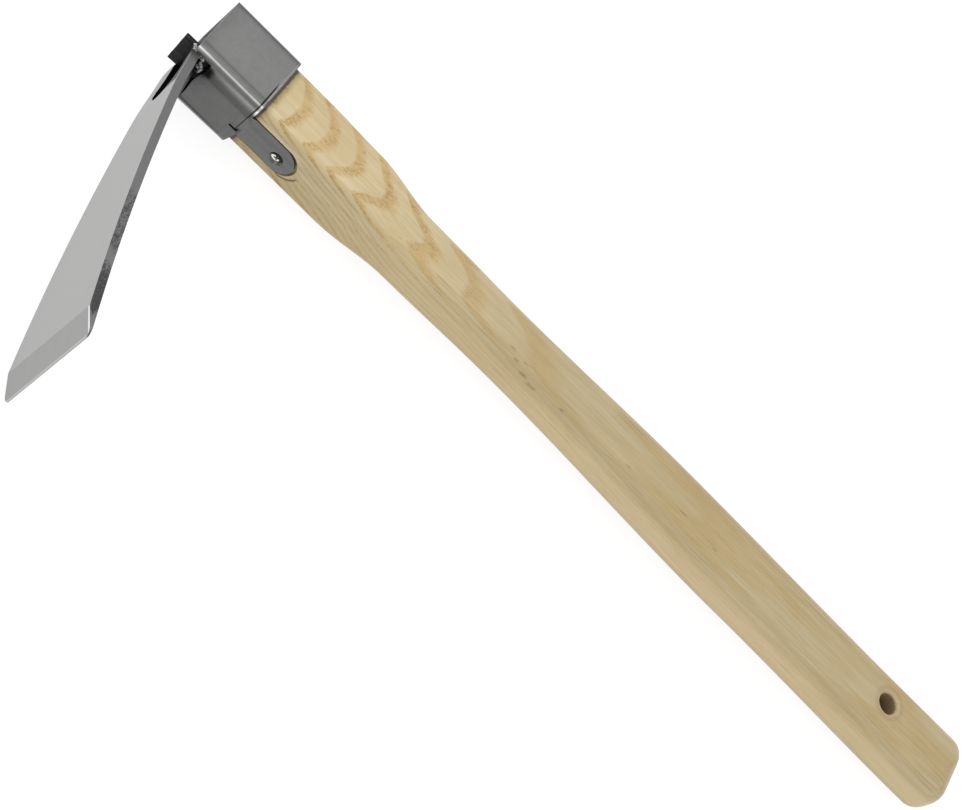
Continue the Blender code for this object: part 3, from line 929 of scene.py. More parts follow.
    def grime_and_shadow(self, net: Net) -> Value:
        """Darken the wood just behind the socket with grime and a painted contact shadow, with a
        fuzzy edge.
        """
        edge = PLACES.socket_length / MM
        ragged = net.waver((0.5, 0.9, 0.9), roughness=0.7) * 2.4
        # a soft fade of grime and painted shade away from the socket's edge
        soft = net.step(net.along + ragged, edge + 5.0, edge + 0.2) * 0.45
        # a narrow near-black band right by the edge: painted contact shadow
        dark = net.step(net.along + ragged * 0.5, edge + 2.3, edge + 1.1) * 0.95
        return net.most(soft, dark)

    def edge_grain(self, net: Net) -> Value:
        """Bleach the belly and the back of the grip."""
        return net.step(abs(net.side), 10.5, 3.0) * net.step(net.along, 90.0, 240.0) * 0.55

    def milled(self, net: Net) -> Value:
        """Bare the lip of wood beside the tongue."""
        ragged = net.waver((0.25, 0.6, 0.6)) * 1.6
        lip = net.step(net.side + ragged, 10.2, 8.4) * net.step(net.side, 5.0, 6.5)
        return lip * net.band(net.along, 35.0, 44.0, 58.0, 63.0) * 0.75

    def pocket_rim_shadow(self, net: Net) -> Value:
        """Paint a thin shadow line along the pocket's rim beyond the tongue's tip."""
        away = net.away(net.along - self.pocket_rim_middle[0], net.side - self.pocket_rim_middle[1])
        arc = net.step(abs(away - self.pocket_rim_radius), 0.70, 0.25)
        return arc * net.step(net.along, 56.5, 59.5) * net.step(net.side, -1.5, -3.5)

    def knots(self, net: Net) -> Value:
        """Find the small knots on the near side of the grip."""
        nearest: Operand = 9.0
        for along, belly, length, width in self.spots:
            away = net.away((net.along - along) / length, (net.belly - belly) / width)
            nearest = net.least(away, nearest)
        ragged = net.waver((0.4, 1.3, 1.3)) * 1.8
        return net.step(nearest + ragged, 1.0, 0.3) * net.step(net.side, 4.0, 8.0)

    def bore(self, net: Net) -> Value:
        """Brown the hang hole's wall and, faintly, a ring round its rims."""
        away = net.away(net.along - self.hole[0], net.belly - self.hole[1])
        level = abs(net.side)
        wall = net.step(away, 5.3, 4.7) * net.step(level, 11.4, 10.0) * 0.65
        ring = net.step(abs(away - self.hole_ring), 1.6, 0.3) * net.step(level, 9.0, 11.0) * 0.16
        return net.most(wall, ring)

    def notch_shade(self, net: Net) -> Value:
        """Paint the wood that shows through the notch black, as the shade in the hollow behind the
        neck.
        """
        return net.step(net.along, 12.0, 10.0) * net.step(net.belly, 8.0, 9.0)


@dataclass(frozen=True)
class SocketSteel(Finish):
    """Rolled stainless sheet with mottled faces and painted highlights, reflections and shade on
    the bends.

    Args:
        plain: the tone away from the near belly bend.
        roughness: how rough the sheet is.
        soot_and_shade_place: the middle of the soot and painted shade, along, to the side and
            towards the belly.
        soot_and_shade_size: the half length, half width and half height of the soot and painted
            shade.
        marks: the tone round a belly bend, with painted highlights, reflections and shade, as pairs
            of the distance round it from the side's flat, in millimetres, and the tone.
    """

    title: str = "socket_steel"
    plain: float = 0.150
    roughness: float = 0.40
    soot_and_shade_place: Sequence[float] = (9.2, 9.4, 17.0)
    soot_and_shade_size: Sequence[float] = (3.4, 4.4, 3.0)
    marks: Curve = (
        (-6.0, 0.190),
        (-1.9, 0.180),
        (-0.7, 0.120),
        (1.1, 0.110),
        (2.1, 0.300),
        (2.45, 0.580),
        (2.8, 1.000),
        (3.15, 0.580),
        (3.5, 0.280),
        (4.6, 0.250),
        (6.1, 0.350),
        (7.9, 0.190),
        (9.5, 0.120),
        (12.0, 0.105),
        (13.8, 0.155),
        (22.0, 0.160),
    )

    def draw(self, net: Net) -> None:
        """Draw the mottled and brushed sheet, its painted light and shade on the bends, lip and
        crease, and its soot with painted shade.
        """
        mottle = net.waver((0.32, 0.32, 0.32), 3.0)
        fine = net.waver((1.7, 1.7, 1.7))
        brush = net.waver((0.09, 2.6, 2.6))
        drawn = net.waver((3.0, 3.0, 0.12)) * 0.45
        rear = net.step(net.along, 20.0, 31.0) * net.step(net.belly, 14.0, 17.0)
        on_tongue = net.step(net.along, 35.4, 36.4)
        tone = self.bend_tone(net)
        tone = tone * (1.0 + mottle * 0.32 + fine * 0.12 + brush * 0.20)
        tone = tone * (1.0 + drawn * rear)
        tone = tone * (1.0 + on_tongue * (0.12 + 0.25 * net.step(net.side, -1.0, 3.0)))
        # painted highlights on the lip
        tone = tone * (1.0 + self.lip(net))
        # painted shade in the crease
        tone = tone * (1.0 - self.crease(net) * 0.75)
        # soot and painted shade round the weld
        tone = tone * (1.0 - self.soot_and_shade(net) * 0.94)
        colour = net.tinted(tone, (1.0, 0.995, 0.985))
        roughness = self.roughness + mottle * 0.10 + brush * 0.10
        net.surface(colour, roughness, 1.0, brush * 0.6 + fine * 0.4 + 0.5, 0.02)

    def bend_tone(self, net: Net) -> Value:
        """Give the tone, with its painted highlights, reflections and shade, by the distance round
        the sheet from where a belly bend starts.
        """
        radius = PLACES.bend_radius / MM
        inner_belly = PLACES.socket_depth / 2 / MM - radius
        inner_side = PLACES.socket_width / 2 / MM - radius
        level, aside = net.belly, abs(net.side)
        up = net.most(level - inner_belly, 0.0)
        out = net.most(aside - inner_side, 0.001)
        round_bend = net.math("ARCTAN2", up, out) * radius
        on_belly = net.most(inner_side - aside, 0.0)
        on_belly = on_belly * net.step(level, inner_belly, inner_belly + radius)
        on_side = net.most(inner_belly - level, 0.0)
        # the ramp paints highlights, reflections and shade round the near belly bend
        toned = net.ramp(round_bend + on_belly - on_side, self.marks)
        near = net.step(net.side, -4.0, 2.0)
        # a painted highlight along the far belly bend
        far_bend_highlight = net.step(net.side, -12.3, -14.5) * net.step(level, 11.0, 14.5)
        return toned * near + self.plain * (1.0 - near) * (1.0 + far_bend_highlight * 0.8)

    def crease(self, net: Net) -> Value:
        """Paint shade into the fine crease just before the socket's rear edge."""
        line = net.step(abs(net.along - PLACES.crease_place / MM), 0.42, 0.16)
        return line * net.step(net.belly, 1.0, 5.0) * net.step(net.side, -4.2, -3.2)

    def lip(self, net: Net) -> Value:
        """Paint highlights on the pressed lip behind the crease, with the strongest glints round
        the bend.
        """
        ragged = net.waver((1.1, 1.1, 1.1)) * 2.5
        side_glint = net.step(net.side, 15.5, 16.5) * 0.45
        # painted glints round the near belly bend
        bend = net.step(net.side, 9.8, 11.0) * net.step(net.belly + ragged, 14.8, 16.2) * 2.0
        return net.step(net.along, 33.8, 34.3) * (side_glint + bend)

    def soot_and_shade(self, net: Net) -> Value:
        """Darken the steel round the near weld at the notch's corner with soot and painted shade.
        """
        along, side, belly = self.soot_and_shade_place
        length, width, height = self.soot_and_shade_size
        behind = net.most(net.along - along, 0.0) / length
        away = net.away(behind, (net.side - side) / width, (net.belly - belly) / height)
        return net.step(away + net.waver((0.5, 0.5, 0.5)) * 0.8, 1.25, 0.45)


@dataclass(frozen=True)
class CutSteel(Finish):
    """The sheared edges of the socket's sheet, brighter than its faces."""

    title: str = "cut_sheet_edge"
    tone: float = 0.42
    roughness: float = 0.36

    def draw(self, net: Net) -> None:
        """Draw the grain of the cut."""
        grain = net.waver((2.2, 2.2, 2.2))
        colour = net.tinted(self.tone * (1.0 + grain * 0.5))
        net.surface(colour, self.roughness + grain * 0.2, 1.0, grain + 0.5, 0.02)


NECK_START = 12.0
BLADE_TAPER = 0.145


def untapered(net: Net) -> Value:
    """Give the place across the blade as if it did not widen below the neck's start."""
    return net.side - (net.belly - NECK_START) * BLADE_TAPER


@dataclass(frozen=True)
class BladeSteel(Finish):
    """The blade's rolled and brushed faces, with painted black shade in the pressed groove and on
    its shoulder, and soot with painted shade by the weld.

    Args:
        tone: the tone of the steel.
        black_shade_tone: the tone of the painted black shade and soot.
        roughness: how rough the steel is.
        grooved: whether the face has the groove.
        groove_middle: the groove's middle line, to the side.
        groove_end: where the groove's round end starts, towards the belly.
        groove_top: half the groove's width at the neck's start.
        groove_widening: how much half the groove's width grows for each millimetre down.
        groove_most: half the groove's width at its widest.
        soot_and_shade_place: the middle of the soot and painted shade, to the side and towards the
            belly.
        soot_and_shade_size: the half width and half height of the soot and painted shade.
    """

    title: str = "blade_face"
    tone: float = 0.42
    black_shade_tone: float = 0.004
    roughness: float = 0.44
    grooved: bool = True
    groove_middle: float = -1.2
    groove_end: float = 27.6
    groove_top: float = 6.4
    groove_widening: float = 0.13
    groove_most: float = 8.4
    soot_and_shade_place: tuple[float, float] = (12.0, 12.0)
    soot_and_shade_size: tuple[float, float] = (8.0, 8.5)

    def draw(self, net: Net) -> None:
        """Draw the brushed steel and, on the grooved face, the painted black shade and soot."""
        cloud = net.waver((0.05, 0.05, 0.05), roughness=0.5)
        fine = net.waver((1.2, 1.2, 1.2))
        brush = net.waver((0.6, 0.05, 2.4))
        colour = net.tinted(self.tone * (1.0 + cloud * 0.10 + fine * 0.07 + brush * 0.07))
        roughness = self.roughness + cloud * 0.08 + brush * 0.08
        net.surface(colour, roughness, 1.0, brush * 0.7 + fine * 0.3 + 0.5, 0.012)
        if self.grooved:
            # soot with painted shade by the weld, and painted shade on the near shoulder
            darkened = net.most(self.soot_and_shade(net) * 0.85, self.shoulder(net) * 0.66)
            self.add_shade_and_soot(net, net.most(self.groove(net), darkened))

    def add_shade_and_soot(self, net: Net, share: Value) -> None:
        """Cover a share of the surface with a dull black layer of painted shade and soot."""
        steel = net.output.inputs[0].links[0].from_socket
        inputs = {
            "Base Color": (self.black_shade_tone, self.black_shade_tone, self.black_shade_tone, 1.0),
            "Roughness": 0.9,
            "Specular IOR Level": 0.0,
        }
        # a dull black shader for the painted shade and soot
        scale = net.node("ShaderNodeBsdfPrincipled", None, inputs)
        parts = {0: share, 1: steel, 2: scale.outputs[0]}
        net.close(net.node("ShaderNodeMixShader", None, parts))

    def groove(self, net: Net) -> Value:
        """Find the inside of the groove in the neck, where black shade is painted."""
        beyond = net.most(net.belly - self.groove_end, 0.0)
        away = net.away(net.side - self.groove_middle, beyond)
        half_width = (net.belly - NECK_START) * self.groove_widening + self.groove_top
        half_width = net.least(half_width, self.groove_most)
        ragged = net.waver((0.5, 0.5, 0.5), roughness=0.5) * 0.9
        return net.step(away + ragged - half_width, 0.35, -0.35)

    def soot_and_shade(self, net: Net) -> Value:
        """Darken the neck's upper near corner, next to the weld, with soot and painted shade."""
        side, belly = self.soot_and_shade_place
        width, height = self.soot_and_shade_size
        away = net.away((net.side - side) / width, (net.belly - belly) / height)
        return net.step(away + net.waver((0.6, 0.6, 0.6)) * 0.5, 1.1, 0.8)

    def shoulder(self, net: Net) -> Value:
        """Paint shade on the rolled shoulder between the groove and the near edge."""
        ragged = net.waver((0.4, 0.4, 0.4)) * 1.2
        across = net.step(net.side + ragged, -1.0, 1.0) * net.step(untapered(net), 12.8, 12.0)
        return across * net.step(net.belly + ragged * 0.6, 37.0, 35.0)


@dataclass(frozen=True)
class GroundSteel(Finish):
    """The ground bevel, a little darker than the blade, with marks square to the edge."""

    title: str = "ground_bevel"
    tone: float = 0.345
    roughness: float = 0.40
    honed_line: float = 165.75

    def draw(self, net: Net) -> None:
        """Draw the grinding marks, the honed line, a painted highlight along the near side and
        painted shade on the edge's land.
        """
        cloud = net.waver((0.08, 0.08, 0.14), roughness=0.5)
        marks = net.waver((0.10, 0.10, 2.4), 3.0)
        edge_highlight = net.step(untapered(net), 12.55, 13.05)
        honed = net.step(abs(net.belly - self.honed_line), 0.55, 0.25)
        land_shade = net.step(net.belly, 166.15, 166.5)
        tone = self.tone * (1.0 + cloud * 0.10 + marks * 0.16)
        tone = (tone + edge_highlight * 0.50 + honed * 0.16) * (1.0 - land_shade * 0.62)
        net.surface(net.tinted(tone), self.roughness + marks * 0.12, 1.0, marks + 0.5, 0.02)


@dataclass(frozen=True)
class ShearedSteel(Finish):
    """The blade's sheared sides, rough and dark where the plate tore."""

    title: str = "sheared_side"
    bright: float = 0.21
    dark: float = 0.075
    roughness: float = 0.52
    torn_low: Sequence[float] = (131.0, 138.0, 153.0, 160.0)
    torn_high: Sequence[float] = (95.0, 100.0, 126.0, 131.0)

    def draw(self, net: Net) -> None:
        """Draw the torn patches between the bright ones."""
        patch = net.waver((0.35, 0.10, 0.1), 3.0, 0.65)
        grain = net.waver((1.6, 1.1, 1.1), 3.0, 0.7)
        torn_high = net.band(net.belly, *self.torn_high) * 0.62
        torn = net.most(net.band(net.belly, *self.torn_low), torn_high)
        share = net.step(patch * 0.55 + grain + torn * 0.36, 0.10, 0.36)
        tone = self.bright * (1.0 + grain * 0.30) * (1.0 - share) + self.dark * share
        # darker towards the neck's top by the weld: soot and painted shade
        tone = tone * (1.0 - net.step(net.belly + grain * 8.0, 24.0, 19.0) * 0.55)
        colour = net.tinted(tone, (1.0, 1.0, 1.0))
        net.surface(colour, self.roughness + grain * 0.2, 1.0, grain - share * 0.6, 0.09)


@dataclass(frozen=True)
class WeldMetal(Finish):
    """A weld bead in random bright and sooty patches; the bright ones are clean metal and painted
    highlight.

    Args:
        bright: the tone of the clean metal and its painted highlights.
        dark: the tone of the sooty patches.
        roughness: how rough the clean metal is.
    """

    title: str = "weld_metal"
    bright: float = 0.34
    dark: float = 0.05
    roughness: float = 0.38

    def draw(self, net: Net) -> None:
        """Draw the bright patches of clean metal and painted highlight, which are largest and
        brightest in front.
        """
        # brighter in front: clean metal and a painted highlight
        clean = net.step(net.along, 1.5, -0.5)
        patch = net.waver((0.45, 0.45, 0.45), roughness=0.5)
        share = net.step(patch + clean * 0.2, -0.12, 0.10)
        grain = net.waver((1.6, 1.6, 1.6), roughness=0.5)
        tone = self.dark + (self.bright * (1.0 + clean * 0.6) - self.dark) * share
        colour = net.tinted(tone, (1.0, 0.99, 0.97))
        net.surface(colour, self.roughness + (1.0 - share) * 0.30, 1.0, grain + 0.5, 0.05)


@dataclass(frozen=True)
class BlackSteel(Finish):
    """Blackened steel with drawn lines lengthwise and bruises from the hammer."""

    title: str = "black_steel"
    tone: float = 0.014
    worn: float = 0.095
    roughness: float = 0.42

    def draw(self, net: Net) -> None:
        """Draw the worn lines, which fade out towards the neck as painted shade, and the grain."""
        drawn = net.noise((0.16, 1.7, 1.7), 2.0, 0.6)
        grain = net.waver((1.3, 1.3, 1.3), 3.0)
        # the lines fade out towards the neck: painted shade under the neck's top
        share = net.step(drawn + grain * 0.25, 0.50, 0.70) * net.step(net.belly, 12.5, 7.5)
        tone = self.tone + (self.worn - self.tone) * share
        colour = net.tinted(tone, (1.0, 1.0, 1.02))
        net.surface(colour, self.roughness + grain * 0.2, 0.85, drawn + grain * 0.5, 0.06)


@dataclass(frozen=True)
class NickelPlate(Finish):
    """Bright plating on the screw, with painted shade deep in its recess and a painted shadow
    crescent.
    """

    title: str = "nickel_plate"
    tone: float = 0.80
    roughness: float = 0.16
    crescent_shadow_shift: tuple[float, float] = (-0.5, -1.3)

    def draw(self, net: Net) -> None:
        """Draw the plating, the painted shade deep in the recess and the painted shadow crescent by
        the rim.
        """
        grain = net.waver((1.3, 1.3, 1.3))
        face = PLACES.tongue_face / MM
        # painted shade on the parts that lie deep in the recess
        sunk = net.step(net.belly, face - 1.1, face - 1.7)
        away_along = net.along - PLACES.screw_place / MM - self.crescent_shadow_shift[0]
        away = net.away(away_along, net.side - PLACES.screw_shift / MM - self.crescent_shadow_shift[1])
        # a painted shadow crescent cast by the hole's near rim
        darkened = net.step(away + grain * 0.4, 2.0, 2.4)
        tone = self.tone * (1.0 + grain * 0.9) * (1.0 - sunk * 0.85) * (1.0 - darkened * 0.97)
        colour = net.tinted(tone, (1.0, 0.985, 0.95))
        net.surface(colour, self.roughness + grain * 0.15, 1.0, grain + 0.5, 0.02)


# Pieces


@dataclass
class Piece:
    """A piece of the tool; each kind makes its own shape."""

    def shape(self) -> BMesh:
        """Make the closed shape in the tool's own axes."""
        raise NotImplementedError


class Workshop:
    """Puts finished pieces in their place.

    Args:
        frame: the tool's frame.
    """

    def __init__(self, frame: ToolFrame) -> None:
        self.frame = frame
        self.made: dict[Finish, Material] = {}

    def material(self, finish: Finish) -> Material:
        """Give a finish's material, which is made when it is first asked for."""
        if finish not in self.made:
            self.made[finish] = finish.build(self.frame)
        return self.made[finish]

    def finish(
        self,
        name: str,
        kind: Piece,
        finishes: Sequence[Finish],
        node: str,
        slot: Slot,
        sharp_angle: float,
    ) -> Object:
        """Put a piece in its place, where it stands for a node of the frame.

        Args:
            name: the piece's name.
            kind: makes the piece's shape.
            finishes: its finishes, in the order of the faces' material indices.
            node: the frame's node that it stands for.
            slot: the record's slot for its finish; it is not used.
            sharp_angle: the angle, in degrees, from which an edge is shaded sharp.

        Returns:
            The piece.
        """
        builder = kind.shape()
        builder.transform(self.frame.matrix)
        piece = loose(name, builder)
        for finish in finishes:
            piece.data.materials.append(self.material(finish))
        piece.data.shade_smooth()
        piece.data.set_sharp_from_angle(angle=math.radians(sharp_angle))
        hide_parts(node)
        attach(piece, BODY)
        LOG.info("%s: %d faces", name, len(piece.data.polygons))
        return piece


@dataclass
class Handle(Piece):
    """The wooden handle: square head with a tenon, swelling grip and rounded butt."""

    length: float = 0.4547
    tenon_recess: float = 0.0015
    plain_length: float = 0.055
    ease_length: float = 0.029
    shoulder_length: float = 0.035
    narrowing_length: float = 0.056
    back_swell_length: float = 0.090
    belly_swell_length: float = 0.150
    head_corner: float = 0.003
    grip_corner: float = 0.009
    grip_thickness: float = 0.024
    waist_back: float = 0.0139
    waist_belly: float = 0.0161
    narrow_back: float = 0.0130
    narrow_belly: float = 0.0152
    grip_back: float = 0.0147
    grip_belly: float = 0.0204
    butt_back: float = 0.0127
    butt_belly: float = 0.0228
    butt_round: float = 0.009
    butt_crown: float = 0.0012
    tenon_play: float = 0.0003
    hole_from_butt: float = 0.0484
    hole_offset: float = 0.0032
    hole_diameter: float = 0.0092
    hole_rim_diameter: float = 0.0138
    pocket_play: float = 0.0006
    pocket_end_play: float = 0.0013
    corner_steps: int = 10
    rows: int = 150
    butt_rows: int = 12
    crown_rows: int = 6
    rim_steps: int = 8
    hole_steps: int = 64

    @property
    def hole_place(self) -> float:
        """The hang hole's place along the handle."""
        return self.length - self.hole_from_butt

    @property
    def round_start(self) -> float:
        """Where the butt starts to round, along the handle."""
        return self.length - self.butt_crown - self.butt_round

    def section(self, along: float) -> tuple[float, float, float, float]:
        """Give the back, belly, half width and corner radius at a place along the handle."""
        half_depth = PLACES.socket_depth / 2 - PLACES.sheet - self.tenon_play
        half_head = PLACES.socket_width / 2 - PLACES.sheet - self.tenon_play
        head = self.plain_length + self.ease_length
        waist = head + self.shoulder_length
        narrow = waist + self.narrowing_length
        shoulder = (along - head) / self.shoulder_length
        back = blend(half_depth, self.waist_back, (along - self.plain_length) / self.ease_length)
        belly = blend(half_depth, self.waist_belly, shoulder)
        if along > waist:
            share = (along - waist) / self.narrowing_length
            back = blend(self.waist_back, self.narrow_back, share)
            belly = blend(self.waist_belly, self.narrow_belly, share)
        if along > narrow:
            full_back = narrow + self.back_swell_length
            full_belly = narrow + self.belly_swell_length
            past = along - narrow
            back = blend(self.narrow_back, self.grip_back, past / self.back_swell_length)
            belly = blend(self.narrow_belly, self.grip_belly, past / self.belly_swell_length)
            back_flare = (along - full_back) / (self.hole_place - full_back)
            belly_flare = (along - full_belly) / (self.round_start - full_belly)
            back = blend(back, self.butt_back, back_flare)
            belly = blend(belly, self.butt_belly, belly_flare)
        half_width = blend(half_head, self.grip_thickness / 2, shoulder)
        corner = blend(self.head_corner, self.grip_corner, shoulder)
        return back, belly, half_width, corner

    def stations(self) -> list[list[Vector]]:
        """Give the sections' points from the tenon to the crowned butt."""
        stretch = self.round_start - self.tenon_recess
        rings = []
        for row in range(self.rows):
            along = self.tenon_recess + stretch * row / self.rows
            rings.append(rounded_section(along, *self.section(along), self.corner_steps))
        back, belly, half_width, corner = self.section(self.round_start)
        for row in range(self.butt_rows + 1):
            angle = quarter(row, self.butt_rows)
            inset = self.butt_round * (1.0 - math.cos(angle))
            along = self.round_start + self.butt_round * math.sin(angle)
            drawn_in = 1.0 - inset / half_width
            section = (back - inset, belly - inset, half_width - inset, corner * drawn_in)
            rings.append(rounded_section(along, *section, self.corner_steps))
        middle = (belly - back) / 2
        half_depth = (belly + back) / 2 - self.butt_round
        for row in range(1, self.crown_rows):
            share = 1.0 - row / self.crown_rows
            along = self.length - self.butt_crown * share**2
            reach = half_depth * share
            side = (half_width - self.butt_round) * share
            edge = corner * (1.0 - self.butt_round / half_width) * share
            section = (reach - middle, reach + middle, side, edge)
            rings.append(rounded_section(along, *section, self.corner_steps))
        return rings

    def hang_hole(self) -> BMesh:
        """Make the turned shape that cuts the hang hole with its rounded rims."""
        face = self.grip_thickness / 2
        bore = self.hole_diameter / 2
        flare = self.hole_rim_diameter / 2 - bore
        rim = []
        for step in range(self.rim_steps + 1):
            angle = quarter(step, self.rim_steps)
            radius = bore + flare * (1.0 - math.cos(angle))
            rim.append((radius, face - flare + flare * math.sin(angle)))
        outer = bore + flare
        top = [(0.0, face + flare), (outer, face + flare)] + rim[::-1]
        bottom = [(radius, -height) for radius, height in reversed(top)]
        builder = spun(top + bottom, self.hole_steps)
        builder.transform(Matrix.Translation(tool_point(self.hole_place, self.hole_offset, 0.0)))
        return builder

    def pocket(self) -> BMesh:
        """Make the shape that cuts the recess under the tongue."""
        floor = PLACES.tongue_face - PLACES.sheet - PLACES.gap
        outline = round_ended_outline(
            PLACES.socket_length - PLACES.relief_length,
            PLACES.tongue_tip + self.pocket_end_play,
            PLACES.tongue_width / 2 + self.pocket_play,
            floor,
            PLACES.tongue_shift,
        )
        return pushed(outline, tool_point(0.0, PLACES.socket_depth - floor, 0.0))

    def rebate(self) -> BMesh:
        """Make the shape that clears the neck of the blade."""
        low = (-PLACES.sheet, PLACES.wedge_offset - PLACES.wedge_tip / 2, -PLACES.socket_width)
        high = (PLACES.notch_length + PLACES.gap, PLACES.socket_depth, PLACES.socket_width)
        return block(low, high)

    def kerf(self) -> BMesh:
        """Make the shape of the saw kerf that the wedge is driven into."""
        start = -PLACES.wedge_proud - PLACES.gap
        tip = PLACES.wedge_length - PLACES.wedge_proud + PLACES.gap
        return tapering(start, tip, PLACES.gap, 2 * PLACES.socket_width)

    def shape(self) -> BMesh:
        """Make the handle."""
        stations = self.stations()
        rows = len(stations) - 1
        builder = tube(len(stations[0]), rows, lambda column, row: stations[row][column])
        cutters = (
            ("tongue_pocket", self.pocket()),
            ("neck_rebate", self.rebate()),
            ("tenon_kerf", self.kerf()),
            ("hang_hole", self.hang_hole()),
        )
        return cut(builder, cutters)


@dataclass
class SheetSocket(Piece):
    """The box socket bent from sheet, with its notch, relief slots and stepped tongue."""

    bend_steps: int = 12
    tongue_steps: int = 14
    tongue_rows: int = 26
    relief_width: float = 0.0012
    relief_place: float = -0.0033
    notch_lip: float = 0.0009
    notch_lip_reach: float = 0.0105
    notch_turn: float = math.radians(16.0)
    far_flare: float = 0.0007
    flare_start: float = 0.006
    flare_length: float = 0.027
    flare_belly: float = 0.004
    flare_rise: float = 0.009
    far_corner: float = 0.0014
    waste: float = 0.010
    corner_start: float = 0.0085
    corner_reach: float = 0.0080
    corner_belly: float = 0.0085
    corner_rise: float = 0.005
    side_columns: int = 12
    step_start: float = 0.0332
    step_length: float = 0.0034
    crease_depth: float = 0.00030
    crease_half_width: float = 0.00010
    crease_reach: float = 0.00035
    crease_lead: float = 0.00060
    crease_far: float = 0.003
    crease_fade: float = 0.0015
    crease_low: float = 0.001
    crease_rise: float = 0.004
    edge_round: float = 0.00024
    edge_angle: float = math.radians(50)
    flat_margin: float = 0.99
    flat_slope: float = 0.8
    rim_margin: float = 1.2
    screw_hole: float = 0.0069
    hole_steps: int = 48
    countersink_depth: float = 0.0017
    shank_hole: float = 0.0042

    @property
    def half_tongue(self) -> float:
        """Half the tongue's width."""
        return PLACES.tongue_width / 2

    def outline(self) -> list[tuple[float, float]]:
        """Give the sheet's outer outline as (belly, side), once round from the far belly bend."""
        half_depth = PLACES.socket_depth / 2
        half_width = PLACES.socket_width / 2
        radius = PLACES.bend_radius
        points = [(half_depth, radius - half_width)]
        points += [(half_depth, side) for side in self.tongue_columns()]
        points.append((half_depth, points[-1][1] + self.relief_width))
        shares = [1.0 - 2.0 * step / self.side_columns for step in range(1, self.side_columns)]
        near = [((half_depth - radius) * share, half_width) for share in shares]
        far = [(-belly, -side) for belly, side in near]
        arcs = round_corners(half_depth, half_depth, half_width, radius, self.bend_steps)
        for arc, side_points in zip(arcs, (near, [], far, [])):
            points += arc + side_points
        return points[:-1]

    def tongue_columns(self) -> list[float]:
        """Give the places across the tongue of the sheet's columns, the slot's edges among them."""
        slot = (self.relief_place - self.relief_width, self.relief_place)
        columns = list(slot)
        for step in range(self.tongue_steps + 1):
            angle = -0.5 * math.pi + math.pi * step / self.tongue_steps
            side = PLACES.tongue_shift + self.half_tongue * math.sin(angle)
            if all(abs(side - edge) > self.relief_width / 2 for edge in slot):
                columns.append(side)
        return sorted(columns)

    def box_rows(self) -> list[tuple[float, float]]:
        """Give the box's stations as (along, inset), with the crease before the rear edge."""
        end = PLACES.socket_length
        crease = PLACES.crease_place
        return [
            (0.0, 0.0),
            (PLACES.notch_length, 0.0),
            (end - PLACES.relief_length, 0.0),
            (crease - self.crease_lead, 0.0),
            (crease - self.crease_reach, 0.0),
            (crease - self.crease_half_width, self.crease_depth),
            (crease + self.crease_half_width, self.crease_depth),
            (crease + self.crease_reach, 0.0),
            (end, 0.0),
        ]

    def crease_share(self, belly: float, side: float) -> float:
        """Tell how deep the crease is at a place of the section, deepest by the belly bend."""
        if belly > PLACES.socket_depth / 2 - PLACES.bend_radius:
            return blend(1.0, 0.0, (-side - self.crease_far) / self.crease_fade)
        return blend(0.0, 1.0, (belly - self.crease_low) / self.crease_rise)

    def tongue_level(self, along: float, side: float) -> float:
        """Give how far the tongue lies below the socket's belly at a place of it."""
        if side < self.relief_place - self.relief_width / 2:
            return PLACES.tongue_step if along > PLACES.socket_length + self.edge_round else 0.0
        share = (along - self.step_start) / self.step_length
        return blend(0.0, PLACES.tongue_step, share)

    def build_sheet(self) -> BMesh:
        """Lay out the sheet's outer face, without its thickness."""
        outline = self.outline()
        rows = self.box_rows()
        tongue_columns = range(1, len(self.tongue_columns()) + 1)
        half_depth = PLACES.socket_depth / 2
        half_width = PLACES.socket_width / 2
        end_row = len(rows) - 1
        end = PLACES.socket_length

        def place(column: int, row: int) -> Vector:
            """Give the sheet's point of a column and a row."""
            belly, side = outline[column]
            on_tongue = column in tongue_columns
            if row <= end_row:
                along, inset = rows[row]
                inset *= self.crease_share(belly, side)
                if row == 1 and belly > half_depth * self.flat_margin:
                    along -= self.notch_lip * blend(1.0, 0.0, abs(side) / self.notch_lip_reach)
                late = max(along - end + PLACES.relief_length, 0.0) / PLACES.relief_length
                late *= blend(0.0, 1.0, (-self.corner_start - side) / self.corner_reach)
                late *= blend(0.0, 1.0, (belly - self.corner_belly) / self.corner_rise)
                along -= self.far_corner * late
                if side < -half_width + PLACES.bend_radius:
                    flare = blend(1.0, 0.0, (along - self.flare_start) / self.flare_length)
                    flare *= blend(0.0, 1.0, (belly - self.flare_belly) / self.flare_rise)
                    belly += self.far_flare * flare
            else:
                share = (row - end_row) / self.tongue_rows
                off_centre = min(abs(side - PLACES.tongue_shift), self.half_tongue)
                reach = self.half_tongue**2 - off_centre**2
                tip = PLACES.tongue_tip - self.half_tongue + math.sqrt(max(reach, 0.0))
                along, inset = end + (tip - end) * share, 0.0
                if not on_tongue:
                    along += self.waste
            if on_tongue:
                return tool_point(along, belly - self.tongue_level(along, side), side)
            return tool_point(
                along, belly * (1.0 - inset / half_depth), side * (1.0 - inset / half_width)
            )

        builder = mapped_grid(len(outline), end_row + self.tongue_rows, place)
        self.trim(builder)
        return builder

